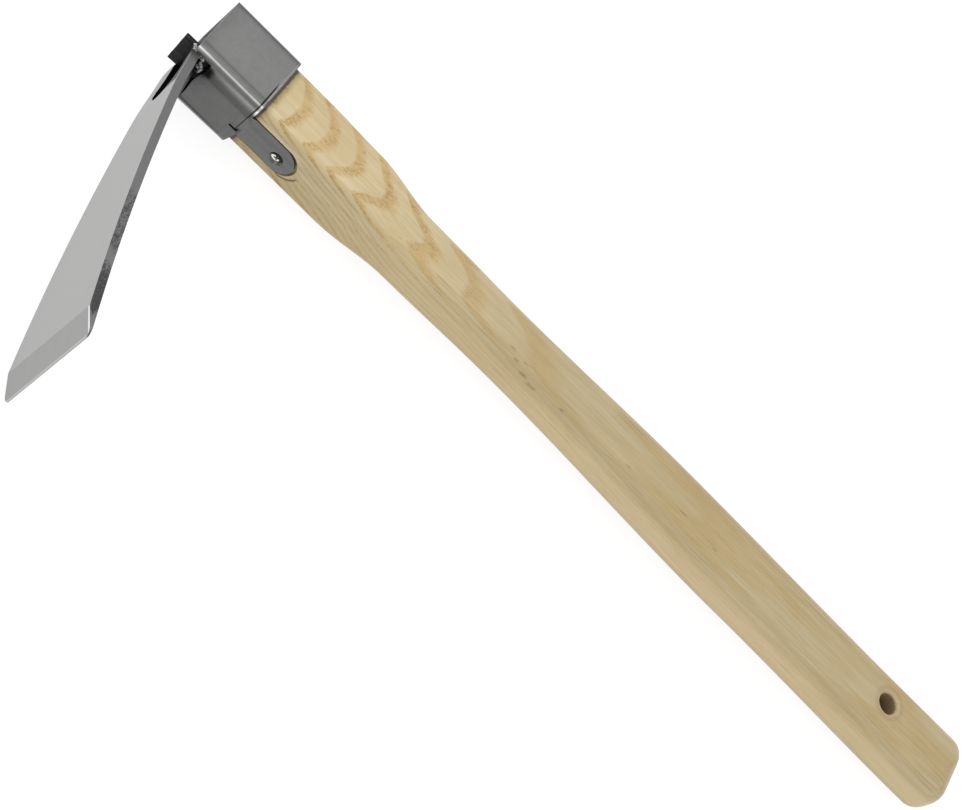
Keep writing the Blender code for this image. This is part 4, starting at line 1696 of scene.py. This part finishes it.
    def trim(self, builder: BMesh) -> None:
        """Take away the notch, the relief slots and what lies beside the tongue."""
        half_notch = PLACES.socket_width / 2 - PLACES.bend_radius
        half_notch += PLACES.bend_radius * math.sin(self.notch_turn)
        unwanted = []
        for face in builder.faces:
            centre = face.calc_center_median()
            along, belly, side = centre.x, -centre.y, centre.z
            low = belly > PLACES.socket_depth / 2 - PLACES.bend_radius
            notch = low and along < PLACES.notch_length and abs(side) < half_notch
            rear = PLACES.socket_length - PLACES.relief_length < along < PLACES.socket_length
            slot = low and rear and -self.relief_width < side - self.relief_place < 0.0
            off_tongue = abs(side - PLACES.tongue_shift) > self.half_tongue
            beside = along > PLACES.socket_length and off_tongue
            back = along > PLACES.socket_length and not low
            if notch or slot or beside or back:
                unwanted.append(face)
        bmesh.ops.delete(builder, geom=unwanted, context="FACES")

    def thicken(self, builder: BMesh) -> BMesh:
        """Give the sheet its thickness, inwards."""
        bmesh.ops.recalc_face_normals(builder, faces=builder.faces)
        sample = max(builder.faces, key=lambda face: -face.calc_center_median().y)
        if sample.normal.y > 0.0:
            bmesh.ops.reverse_faces(builder, faces=builder.faces)
        item = loose("sheet", builder)
        modifier = item.modifiers.new("thickness", "SOLIDIFY")
        modifier.thickness = PLACES.sheet
        modifier.offset = -1.0
        modifier.use_even_offset = True
        result = modified(item)
        face_outwards(result)
        return result

    def countersink(self) -> BMesh:
        """Make the turned shape that cuts the countersunk hole."""
        rim = self.screw_hole / 2
        shank = self.shank_hole / 2
        profile = [
            (0.0, PLACES.sheet),
            (rim + PLACES.sheet, PLACES.sheet),
            (rim, 0.0),
            (shank, -self.countersink_depth),
            (shank, -2 * PLACES.sheet),
            (0.0, -2 * PLACES.sheet),
        ]
        builder = spun(profile, self.hole_steps)
        upright = Matrix.Rotation(0.5 * math.pi, 4, "X")
        centre = tool_point(PLACES.screw_place, PLACES.tongue_face, PLACES.screw_shift)
        builder.transform(Matrix.Translation(centre) @ upright)
        return builder

    def shape(self) -> BMesh:
        """Make the socket."""
        builder = self.thicken(self.build_sheet())
        builder = cut(builder, [("countersink", self.countersink())])
        soften(builder, self.edge_round, 2, self.edge_angle)
        self.mark_cut_edges(builder)
        return builder

    def mark_cut_edges(self, builder: BMesh) -> None:
        """Give the sheet's cut ends the bright finish."""
        builder.normal_update()
        rim = self.edge_round * self.rim_margin
        for face in builder.faces:
            centre = face.calc_center_median()
            aside = abs(centre.z - PLACES.tongue_shift) > self.half_tongue - rim
            on_tongue = centre.x > PLACES.socket_length and aside
            if centre.x < rim or (on_tongue and abs(face.normal.y) < self.flat_slope):
                face.material_index = 1


@dataclass
class Blade(Piece):
    """The tapering, slightly bowed blade with its pressed groove and ground edge."""

    length: float = 0.160
    thickness: float = 0.0036
    neck_width: float = 0.0266
    edge_width: float = 0.0730
    shoulder_radius: float = 0.008
    corner_radius: float = 0.0036
    bevel_length: float = 0.012
    edge_land: float = 0.0005
    lean: float = math.radians(10.3)
    curl: float = math.radians(7.7)
    forward: float = 0.0029
    groove_width: float = 0.0126
    groove_shift: float = -0.0009
    set_back: float = 0.0010
    set_start: float = 0.005
    groove_depth: float = 0.0030
    groove_length: float = 0.0245
    groove_softness: float = 0.00035
    roll_depth: float = 0.0008
    roll_reach: float = 0.0128
    roll_length: float = 0.014
    columns: int = 72
    neck_rows: int = 60
    body_rows: int = 56
    shoulder_rows: int = 12
    edge_round: float = 0.00022
    edge_angle: float = math.radians(60)
    side_slope: float = 0.72
    top_slope: float = 0.55
    corner_slope: float = 0.3
    ground_margin: float = 0.97
    groove_share: float = 0.65
    least_bevel_points: int = 8

    @property
    def start(self) -> float:
        """How far towards the blade side the outer face of the neck starts."""
        return PLACES.wedge_offset + PLACES.gap + self.thickness * math.sin(self.lean)

    def half_width(self, down: float) -> float:
        """Give half the blade's width at a distance down from its top."""
        widening = (self.edge_width - self.neck_width) / 2
        straight = self.neck_width / 2 + widening * down / self.length
        radius, past = self.shoulder_radius, self.shoulder_radius - down
        if down > self.length - self.corner_radius:
            radius, past = self.corner_radius, down - (self.length - self.corner_radius)
        if past <= 0.0:
            return straight
        return straight - radius + math.sqrt(max(radius**2 - past**2, 0.0))

    def place(self, down: float, inward: float, side: float) -> Vector:
        """Give the point at a distance down the bow, inward from the outer face and to the side."""
        lean = self.lean + self.curl * down / self.length
        radius = self.length / self.curl
        along = radius * (math.cos(self.lean) - math.cos(lean)) - self.forward
        belly = radius * (math.sin(lean) - math.sin(self.lean)) + self.start
        return tool_point(along + inward * math.cos(lean), belly - inward * math.sin(lean), side)

    def neck_set(self, down: float) -> float:
        """Give how far the welded neck is set back at a distance down the blade."""
        return blend(self.set_back, 0.0, (down - self.set_start) / self.groove_length)

    def groove(self, down: float, side: float) -> float:
        """Give the groove's depth at a place on the outer face."""
        half = self.groove_width / 2
        side -= self.groove_shift
        radius = (half**2 + self.groove_depth**2) / (2 * self.groove_depth)
        beyond = max(down - (self.groove_length - half), 0.0)
        away = (side**4 + beyond**4) ** 0.25
        roll_away = math.hypot(side, max(down - self.roll_length, 0.0))
        roll = blend(0.0, self.roll_depth, (self.roll_reach - roll_away) / (self.roll_reach - half))
        if away >= radius:
            return roll
        level = math.sqrt(radius**2 - away**2) - (radius - self.groove_depth)
        far = self.groove_depth - radius
        softness = self.groove_softness
        return smooth_floor(level, softness) - smooth_floor(far, softness) + roll

    def rows(self) -> list[float]:
        """Give the distances down the blade of the grid's rows."""
        corner = [
            self.shoulder_radius * (1.0 - math.cos(quarter(step, self.shoulder_rows)))
            for step in range(self.shoulder_rows)
        ]
        neck_end = self.groove_length + self.shoulder_radius
        neck = [
            self.shoulder_radius + (neck_end - self.shoulder_radius) * step / self.neck_rows
            for step in range(self.neck_rows)
        ]
        body_end = self.length - self.corner_radius
        body = [
            neck_end + (body_end - neck_end) * step / self.body_rows
            for step in range(self.body_rows)
        ]
        rounded = [
            body_end + self.corner_radius * math.sin(quarter(step, self.shoulder_rows))
            for step in range(self.shoulder_rows + 1)
        ]
        return corner + neck + body + rounded

    def shape(self) -> BMesh:
        """Make the blade."""
        rows = self.rows()
        ring = 2 * (self.columns + 1)

        def place(column: int, row: int) -> Vector:
            """Give a point of the outer face, then of the inner face on the way back."""
            down = rows[row]
            inner = column > self.columns
            across = ring - 1 - column if inner else column
            side = self.half_width(down) * (2.0 * across / self.columns - 1.0)
            depth = self.groove(down, side) + self.neck_set(down)
            return self.place(down, depth + (self.thickness if inner else 0.0), side)

        builder = tube(ring, len(rows) - 1, place)
        self.grind(builder)
        soften(builder, self.edge_round, 2, self.edge_angle)
        self.mark_faces(builder)
        return builder

    def grind(self, builder: BMesh) -> None:
        """Cut the bevel off the outer face."""
        top = self.place(self.length - self.bevel_length, 0.0, 0.0)
        edge = self.place(self.length, self.thickness - self.edge_land, 0.0)
        slope = (edge - top).normalized()
        outward = slope.cross(Vector((0.0, 0.0, 1.0)))
        if outward.x > 0.0:
            outward.negate()
        result = bmesh.ops.bisect_plane(
            builder,
            geom=builder.verts[:] + builder.edges[:] + builder.faces[:],
            dist=1e-7,
            plane_co=top,
            plane_no=outward,
            clear_outer=True,
        )
        loop = [item for item in result["geom_cut"] if isinstance(item, bmesh.types.BMEdge)]
        bmesh.ops.edgeloop_fill(builder, edges=loop)
        face_outwards(builder)

    def mark_faces(self, builder: BMesh) -> None:
        """Tell the outer face, the sheared sides, the ground bevel and the inner face apart."""
        builder.normal_update()
        for face in builder.faces:
            centre = face.calc_center_median()
            down = -centre.y - self.start
            near_edge = down > (self.length - self.bevel_length) * self.ground_margin
            aside = abs(face.normal.z)
            on_top = down < self.shoulder_radius and face.normal.y > self.top_slope
            sheared = aside > self.side_slope or on_top or (near_edge and aside > self.corner_slope)
            if sheared and not self.in_groove(down, centre.z):
                face.material_index = 1
            elif face.normal.x > 0.0:
                face.material_index = 3
            elif near_edge and len(face.verts) > self.least_bevel_points:
                face.material_index = 2

    def in_groove(self, down: float, side: float) -> bool:
        """Tell whether a place is in the groove, away from the blade's sides."""
        return down < self.groove_length and abs(side) < self.groove_width * self.groove_share


@dataclass
class Wedge(Piece):
    """The black steel wedge, bruised at its head."""

    width: float = 0.0172
    turn: float = math.radians(-3.5)
    driven: float = 0.0002
    edge_round: float = 0.0004
    edge_angle: float = math.radians(40)
    bruise: float = 0.00022
    bruise_size: float = 1.6 * MM
    least_bruise: float = 0.15
    cuts: int = 14

    def shape(self) -> BMesh:
        """Make the wedge."""
        start = self.driven - PLACES.wedge_proud
        tip = PLACES.wedge_length - PLACES.wedge_proud
        builder = tapering(start, tip, 0.0, self.width)
        soften(builder, self.edge_round, 3, self.edge_angle)
        bmesh.ops.subdivide_edges(
            builder,
            edges=[edge for edge in builder.edges if edge.calc_length() > self.width / 4],
            cuts=self.cuts,
            use_grid_fill=True,
        )
        self.hammer(builder, start)
        pivot = tool_point(start, PLACES.wedge_offset, 0.0)
        askew = Matrix.Rotation(self.turn, 4, "Y")
        builder.transform(Matrix.Translation(pivot) @ askew @ Matrix.Translation(-pivot))
        return builder

    def hammer(self, builder: BMesh, start: float) -> None:
        """Bruise the head inwards, the more the nearer a point is to it."""
        builder.normal_update()
        for vert in builder.verts:
            near = 1.0 - min((vert.co.x - start) / PLACES.wedge_proud, 1.0)
            dent = 0.5 + 0.5 * noise.noise(vert.co / self.bruise_size)
            vert.co -= vert.normal * self.bruise * dent * max(near, self.least_bruise)


@dataclass
class TongueScrew(Piece):
    """The countersunk wood screw with its cross recess, seated just under the tongue's face."""

    head_diameter: float = 0.0054
    shank_diameter: float = 0.0036
    length: float = 0.022
    point: float = 0.006
    dome: float = 0.0004
    rim: float = 0.00012
    head_depth: float = 0.0012
    sink: float = 0.0010
    recess_span: float = 0.0036
    recess_width: float = 0.0009
    recess_depth: float = 0.0014
    floor_span: float = 0.45
    floor_width: float = 0.75
    dome_steps: int = 8
    steps: int = 48
    turn: float = math.radians(24)
    tilt: float = math.radians(5)

    def profile(self) -> list[tuple[float, float]]:
        """Give the screw's profile as pairs of radius and height, from the dome to the point."""
        head = self.head_diameter / 2
        shank = self.shank_diameter / 2
        points = []
        for step in range(self.dome_steps + 1):
            angle = quarter(step, self.dome_steps)
            points.append((head * math.sin(angle), self.dome * math.cos(angle)))
        points += [(head, -self.rim), (shank, -self.head_depth)]
        return points + [(shank, self.point - self.length), (0.0, -self.length)]

    def recess(self) -> list[tuple[str, BMesh]]:
        """Make the two tapering bars that cut the cross recess."""
        bars = []
        for name, turned in (("recess_first", 0.0), ("recess_second", 0.5 * math.pi)):
            bar = bmesh.new()
            bmesh.ops.create_cube(bar, size=1.0)
            for vert in bar.verts:
                low = vert.co.z < 0.0
                vert.co.x *= self.recess_span * (self.floor_span if low else 1.0)
                vert.co.y *= self.recess_width * (self.floor_width if low else 1.0)
                vert.co.z = -self.recess_depth + self.dome if low else self.dome + MM
            bar.transform(Matrix.Rotation(turned, 4, "Z"))
            bars.append((name, bar))
        return bars

    def shape(self) -> BMesh:
        """Make the screw."""
        builder = cut(spun(self.profile(), self.steps), self.recess())
        upright = Matrix.Rotation(0.5 * math.pi, 4, "X")
        tip = Matrix.Rotation(self.tilt, 4, "Y")
        spin = Matrix.Rotation(self.turn, 4, "Z")
        centre = tool_point(PLACES.screw_place, PLACES.tongue_face - self.sink, PLACES.screw_shift)
        builder.transform(Matrix.Translation(centre) @ upright @ tip @ spin)
        return builder


Route = Sequence[tuple[float, float, float]]

# A route's points are given as (along, belly, out to the side). The blobs are on the near side
# only, and each run has a radius, a count of ripples and a route.
WELD_BLOBS: Sequence[Route] = (
    ((-0.0017, 0.0163, 0.0160), (-0.0014, 0.0166, 0.0158), (-0.0011, 0.0166, 0.0155)),
    ((-0.0011, 0.0166, 0.0153), (-0.0008, 0.0168, 0.0150), (-0.0005, 0.0169, 0.0147)),
    ((-0.0006, 0.0169, 0.0145), (-0.0002, 0.0171, 0.0141), (0.0003, 0.0172, 0.0137)),
)
WELD_RUNS: Sequence[tuple[float, int, Route]] = (
    (
        0.0011,
        3,
        (
            (0.0002, 0.0166, 0.0136),
            (0.0010, 0.0168, 0.0131),
            (0.0020, 0.0170, 0.0128),
            (0.0030, 0.0168, 0.0124),
        ),
    ),
    (
        0.0008,
        2,
        (
            (0.0020, 0.0173, 0.0123),
            (0.0029, 0.0177, 0.0134),
            (0.0040, 0.0177, 0.0138),
            (0.0050, 0.0175, 0.0133),
            (0.0055, 0.0171, 0.0123),
        ),
    ),
    (
        0.0009,
        4,
        (
            (0.0044, 0.0172, 0.0114),
            (0.0053, 0.0176, 0.0109),
            (0.0061, 0.0177, 0.0103),
            (0.0067, 0.0177, 0.0093),
            (0.0069, 0.0175, 0.0078),
            (0.0064, 0.0173, 0.0061),
            (0.0056, 0.0170, 0.0048),
        ),
    ),
    (
        0.0009,
        1,
        ((0.0048, 0.0171, 0.0092), (0.0054, 0.0175, 0.0084), (0.0058, 0.0171, 0.0077)),
    ),
)


@dataclass
class WeldBead(Piece):
    """A rippled bead that curls from the socket's mouth round a shoulder of the neck.

    Args:
        side: 1 for the near side and -1 for the far one.
        blob_radius: the radius of the blobs.
        far_sunk: how much lower the far bead lies.
        far_drawn_in: how much nearer the middle the far bead lies.
        ripple_height: the height of a ripple as a share of the radius.
        rows: how many faces a run has lengthwise.
        columns: how many faces a run has round it.
        roughness: the height of the lumps.
        lump_size: how far apart the lumps are.
        tip_share: the radius at a run's ends as a share of the full one.
        nudge: how far before and behind a place its direction is measured, as a share of a run.
    """

    side: int = 1
    blob_radius: float = 0.00066
    far_sunk: float = 0.0008
    far_drawn_in: float = 0.0010
    ripple_height: float = 0.13
    rows: int = 96
    columns: int = 24
    roughness: float = 0.00012
    lump_size: float = 0.9 * MM
    tip_share: float = 0.08
    nudge: float = 0.01

    def runs(self) -> list[tuple[float, int, list[Vector]]]:
        """Give each run of weld metal as its radius, its count of ripples and its route."""
        runs = list(WELD_RUNS)
        sunk, drawn_in = self.far_sunk, self.far_drawn_in
        if self.side > 0:
            runs = [(self.blob_radius, 1, route) for route in WELD_BLOBS] + runs
            sunk, drawn_in = 0.0, 0.0
        placed = []
        for radius, ripples, route in runs:
            points = [
                tool_point(along, belly - sunk, self.side * (out - drawn_in))
                for along, belly, out in route
            ]
            placed.append((radius, ripples, points))
        return placed

    def path(self, points: Sequence[Vector], share: float) -> Vector:
        """Give a point on a smooth curve through the route's points."""
        reach = share * (len(points) - 1)
        index = min(int(reach), len(points) - 2)
        local = reach - index
        before = points[max(index - 1, 0)]
        first = points[index]
        second = points[index + 1]
        after = points[min(index + 2, len(points) - 1)]
        start_pull = (second - before) * 0.5
        end_pull = (after - first) * 0.5
        square, cube = local * local, local * local * local
        return (
            first * (2 * cube - 3 * square + 1)
            + start_pull * (cube - 2 * square + local)
            + second * (3 * square - 2 * cube)
            + end_pull * (cube - square)
        )

    def bead(self, radius: float, ripples: int, route: Sequence[Vector]) -> BMesh:
        """Make one bead along a route, with its ripples.

        Args:
            radius: its radius at its thickest.
            ripples: how many ripples it has.
            route: the points that it follows.

        Returns:
            The closed bead.
        """

        def place(column: int, row: int) -> Vector:
            """Give a point of the bead's surface."""
            share = row / self.rows
            centre = self.path(route, share)
            ahead = self.path(route, min(share + self.nudge, 1.0))
            ahead = ahead - self.path(route, max(share - self.nudge, 0.0))
            sideways = ahead.cross(Vector((0.0, 0.0, 1.0))).normalized()
            upward = sideways.cross(ahead).normalized()
            angle = 2.0 * math.pi * column / self.columns
            swell = math.sqrt(max(1.0 - (2.0 * share - 1.0) ** 6, 0.0))
            swell = swell * (1.0 - self.tip_share) + self.tip_share
            ripple = 1.0 + self.ripple_height * math.sin(2.0 * math.pi * share * ripples)
            reach = radius * swell * ripple
            point = centre + (sideways * math.cos(angle) + upward * math.sin(angle)) * reach
            lump = noise.noise(point / self.lump_size) * self.roughness * swell
            return point + (point - centre).normalized() * lump

        return tube(self.columns, self.rows, place)

    def shape(self) -> BMesh:
        """Make the bead."""
        joined = bmesh.new()
        for run in self.runs():
            builder = self.bead(*run)
            part = bpy.data.meshes.new("bead")
            builder.to_mesh(part)
            builder.free()
            joined.from_mesh(part)
            bpy.data.meshes.remove(part)
        return joined


# Stage


@dataclass
class SoftLamp:
    """A square soft lamp that looks at a point of the tool."""

    name: str
    place: tuple[float, float, float]
    size: float
    power: float

    def build(self, aim: Vector) -> None:
        """Put the lamp in the scene.

        Args:
            aim: the point that it looks at, in the row frame.
        """
        data = bpy.data.lights.new(self.name, "AREA")
        data.shape = "SQUARE"
        data.size = self.size
        data.energy = self.power
        lamp = bpy.data.objects.new(self.name, data)
        lamp.location = self.place
        look = aim - Vector(self.place)
        lamp.rotation_euler = look.to_track_quat("-Z", "Y").to_euler()
        bpy.context.scene.collection.objects.link(lamp)


@dataclass(frozen=True)
class PaleFloor(Finish):
    """A floor that is white where the camera sees it and keeps a faint shadow.

    Args:
        white: the tone of the floor that lights the tool.
        glow: the light of the floor that the camera sees.
        shadow: the tone on which the camera sees the shadow.
    """

    title: str = "pale_floor"
    white: float = 0.80
    glow: float = 0.88
    shadow: float = 0.22

    def draw(self, net: Net) -> None:
        """Draw the floor for the rays that see it and for all others."""
        rays = net.node("ShaderNodeLightPath").outputs
        names = ("Is Camera Ray", "Is Glossy Ray", "Is Transmission Ray")
        camera, glossy, passing = (Value(net, rays[name]) for name in names)
        seen = net.most(camera, net.most(glossy, passing))
        white = net.full((self.white, self.white, self.white))
        dim = net.full((self.shadow, self.shadow, self.shadow))
        plain = net.node("ShaderNodeBsdfDiffuse", None, {"Color": white})
        shadow = net.node("ShaderNodeBsdfDiffuse", None, {"Color": dim})
        glow = net.node("ShaderNodeEmission", None, {"Strength": self.glow})
        shown = net.node("ShaderNodeAddShader", None, {0: glow.outputs[0], 1: shadow.outputs[0]})
        parts = {0: seen, 1: plain.outputs[0], 2: shown.outputs[0]}
        net.close(net.node("ShaderNodeMixShader", None, parts))


@dataclass
class Studio:
    """The pale floor, the soft lamps, the world and the camera."""

    floor: PaleFloor = field(default_factory=PaleFloor)
    floor_size: float = 12.0
    world_light: float = 0.54
    image_width: int = 964
    focal_pixels: float = 2530.19
    sensor: float = 36.0
    eye: tuple[float, float, float] = (-0.0351, 0.6790, 0.7821)
    aim: tuple[float, float, float] = (0.1831, 0.0332, 0.0)
    up: tuple[float, float, float] = (-0.6828, 0.6454, 0.3425)
    lamps: Sequence[SoftLamp] = (
        SoftLamp("overhead_lamp", (-0.25, 0.75, 1.5), 1.1, 9.0),
        SoftLamp("front_lamp", (-1.3, -1.1, 1.1), 1.2, 8.0),
        SoftLamp("right_lamp", (1.5, -0.5, 1.2), 1.2, 4.5),
    )

    def build(self, frame: ToolFrame) -> None:
        """Set up the stage.

        Args:
            frame: the tool's frame.
        """
        self.build_floor(frame)
        self.build_world()
        self.build_camera(frame)
        for lamp in self.lamps:
            lamp.build(Vector((0.0, 0.0, 0.0)))
        bpy.context.scene.view_settings.view_transform = "Standard"

    def build_floor(self, frame: ToolFrame) -> None:
        """Lay the floor."""
        builder = bmesh.new()
        bmesh.ops.create_grid(builder, x_segments=1, y_segments=1, size=self.floor_size / 2)
        floor = loose("floor", builder)
        floor.data.materials.append(self.floor.build(frame))

    def build_world(self) -> None:
        """Fill the world with plain pale light."""
        world = bpy.data.worlds.new("studio")
        world.use_nodes = True
        background = world.node_tree.nodes["Background"]
        background.inputs["Color"].default_value = (1.0, 1.0, 1.0, 1.0)
        background.inputs["Strength"].default_value = self.world_light
        bpy.context.scene.world = world

    def build_camera(self, frame: ToolFrame) -> None:
        """Put the camera where the photograph was taken from."""
        data = bpy.data.cameras.new("camera")
        data.sensor_fit = "HORIZONTAL"
        data.sensor_width = self.sensor
        data.lens = self.focal_pixels * self.sensor / self.image_width
        eye, aim = tool_point(*self.eye), tool_point(*self.aim)
        backward = (eye - aim).normalized()
        rightward = Vector(self.up).cross(backward).normalized()
        upward = backward.cross(rightward)
        turn = Matrix((rightward, upward, backward)).transposed()
        camera = bpy.data.objects.new("camera", data)
        camera.matrix_world = frame.matrix @ Matrix.Translation(eye) @ turn.to_4x4()
        bpy.context.scene.collection.objects.link(camera)
        bpy.context.scene.camera = camera


def main() -> None:
    """Build every piece and the stage."""
    logging.basicConfig(level=logging.INFO, format="%(name)s %(message)s")
    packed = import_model()
    frame = ToolFrame.from_record(packed["record"])
    shop = Workshop(frame)

    inner_face = BladeSteel(title="blade_inner_face", grooved=False)
    blade_faces = (BladeSteel(), ShearedSteel(), GroundSteel(), inner_face)
    socket_faces = (SocketSteel(), CutSteel())
    pieces = (
        ("wooden_handle", Handle(), (AshWood(),), "handle", Slot.WOOD, 35),
        ("sheet_socket", SheetSocket(), socket_faces, "socket", Slot.SOCKET, 30),
        ("hoe_blade", Blade(), blade_faces, "blade", Slot.BLADE, 12),
        ("steel_wedge", Wedge(), (BlackSteel(),), "wedge", Slot.BLACK, 30),
        ("cross_head_screw", TongueScrew(), (NickelPlate(),), "tongue_screw", Slot.NICKEL, 30),
        ("weld_bead_left", WeldBead(1), (WeldMetal(),), "weld_left", Slot.WELD, 60),
        ("weld_bead_right", WeldBead(-1), (WeldMetal(),), "weld_right", Slot.WELD, 60),
    )
    for piece in pieces:
        shop.finish(*piece)
    Studio().build(frame)


if __name__ == "__main__":
    main()
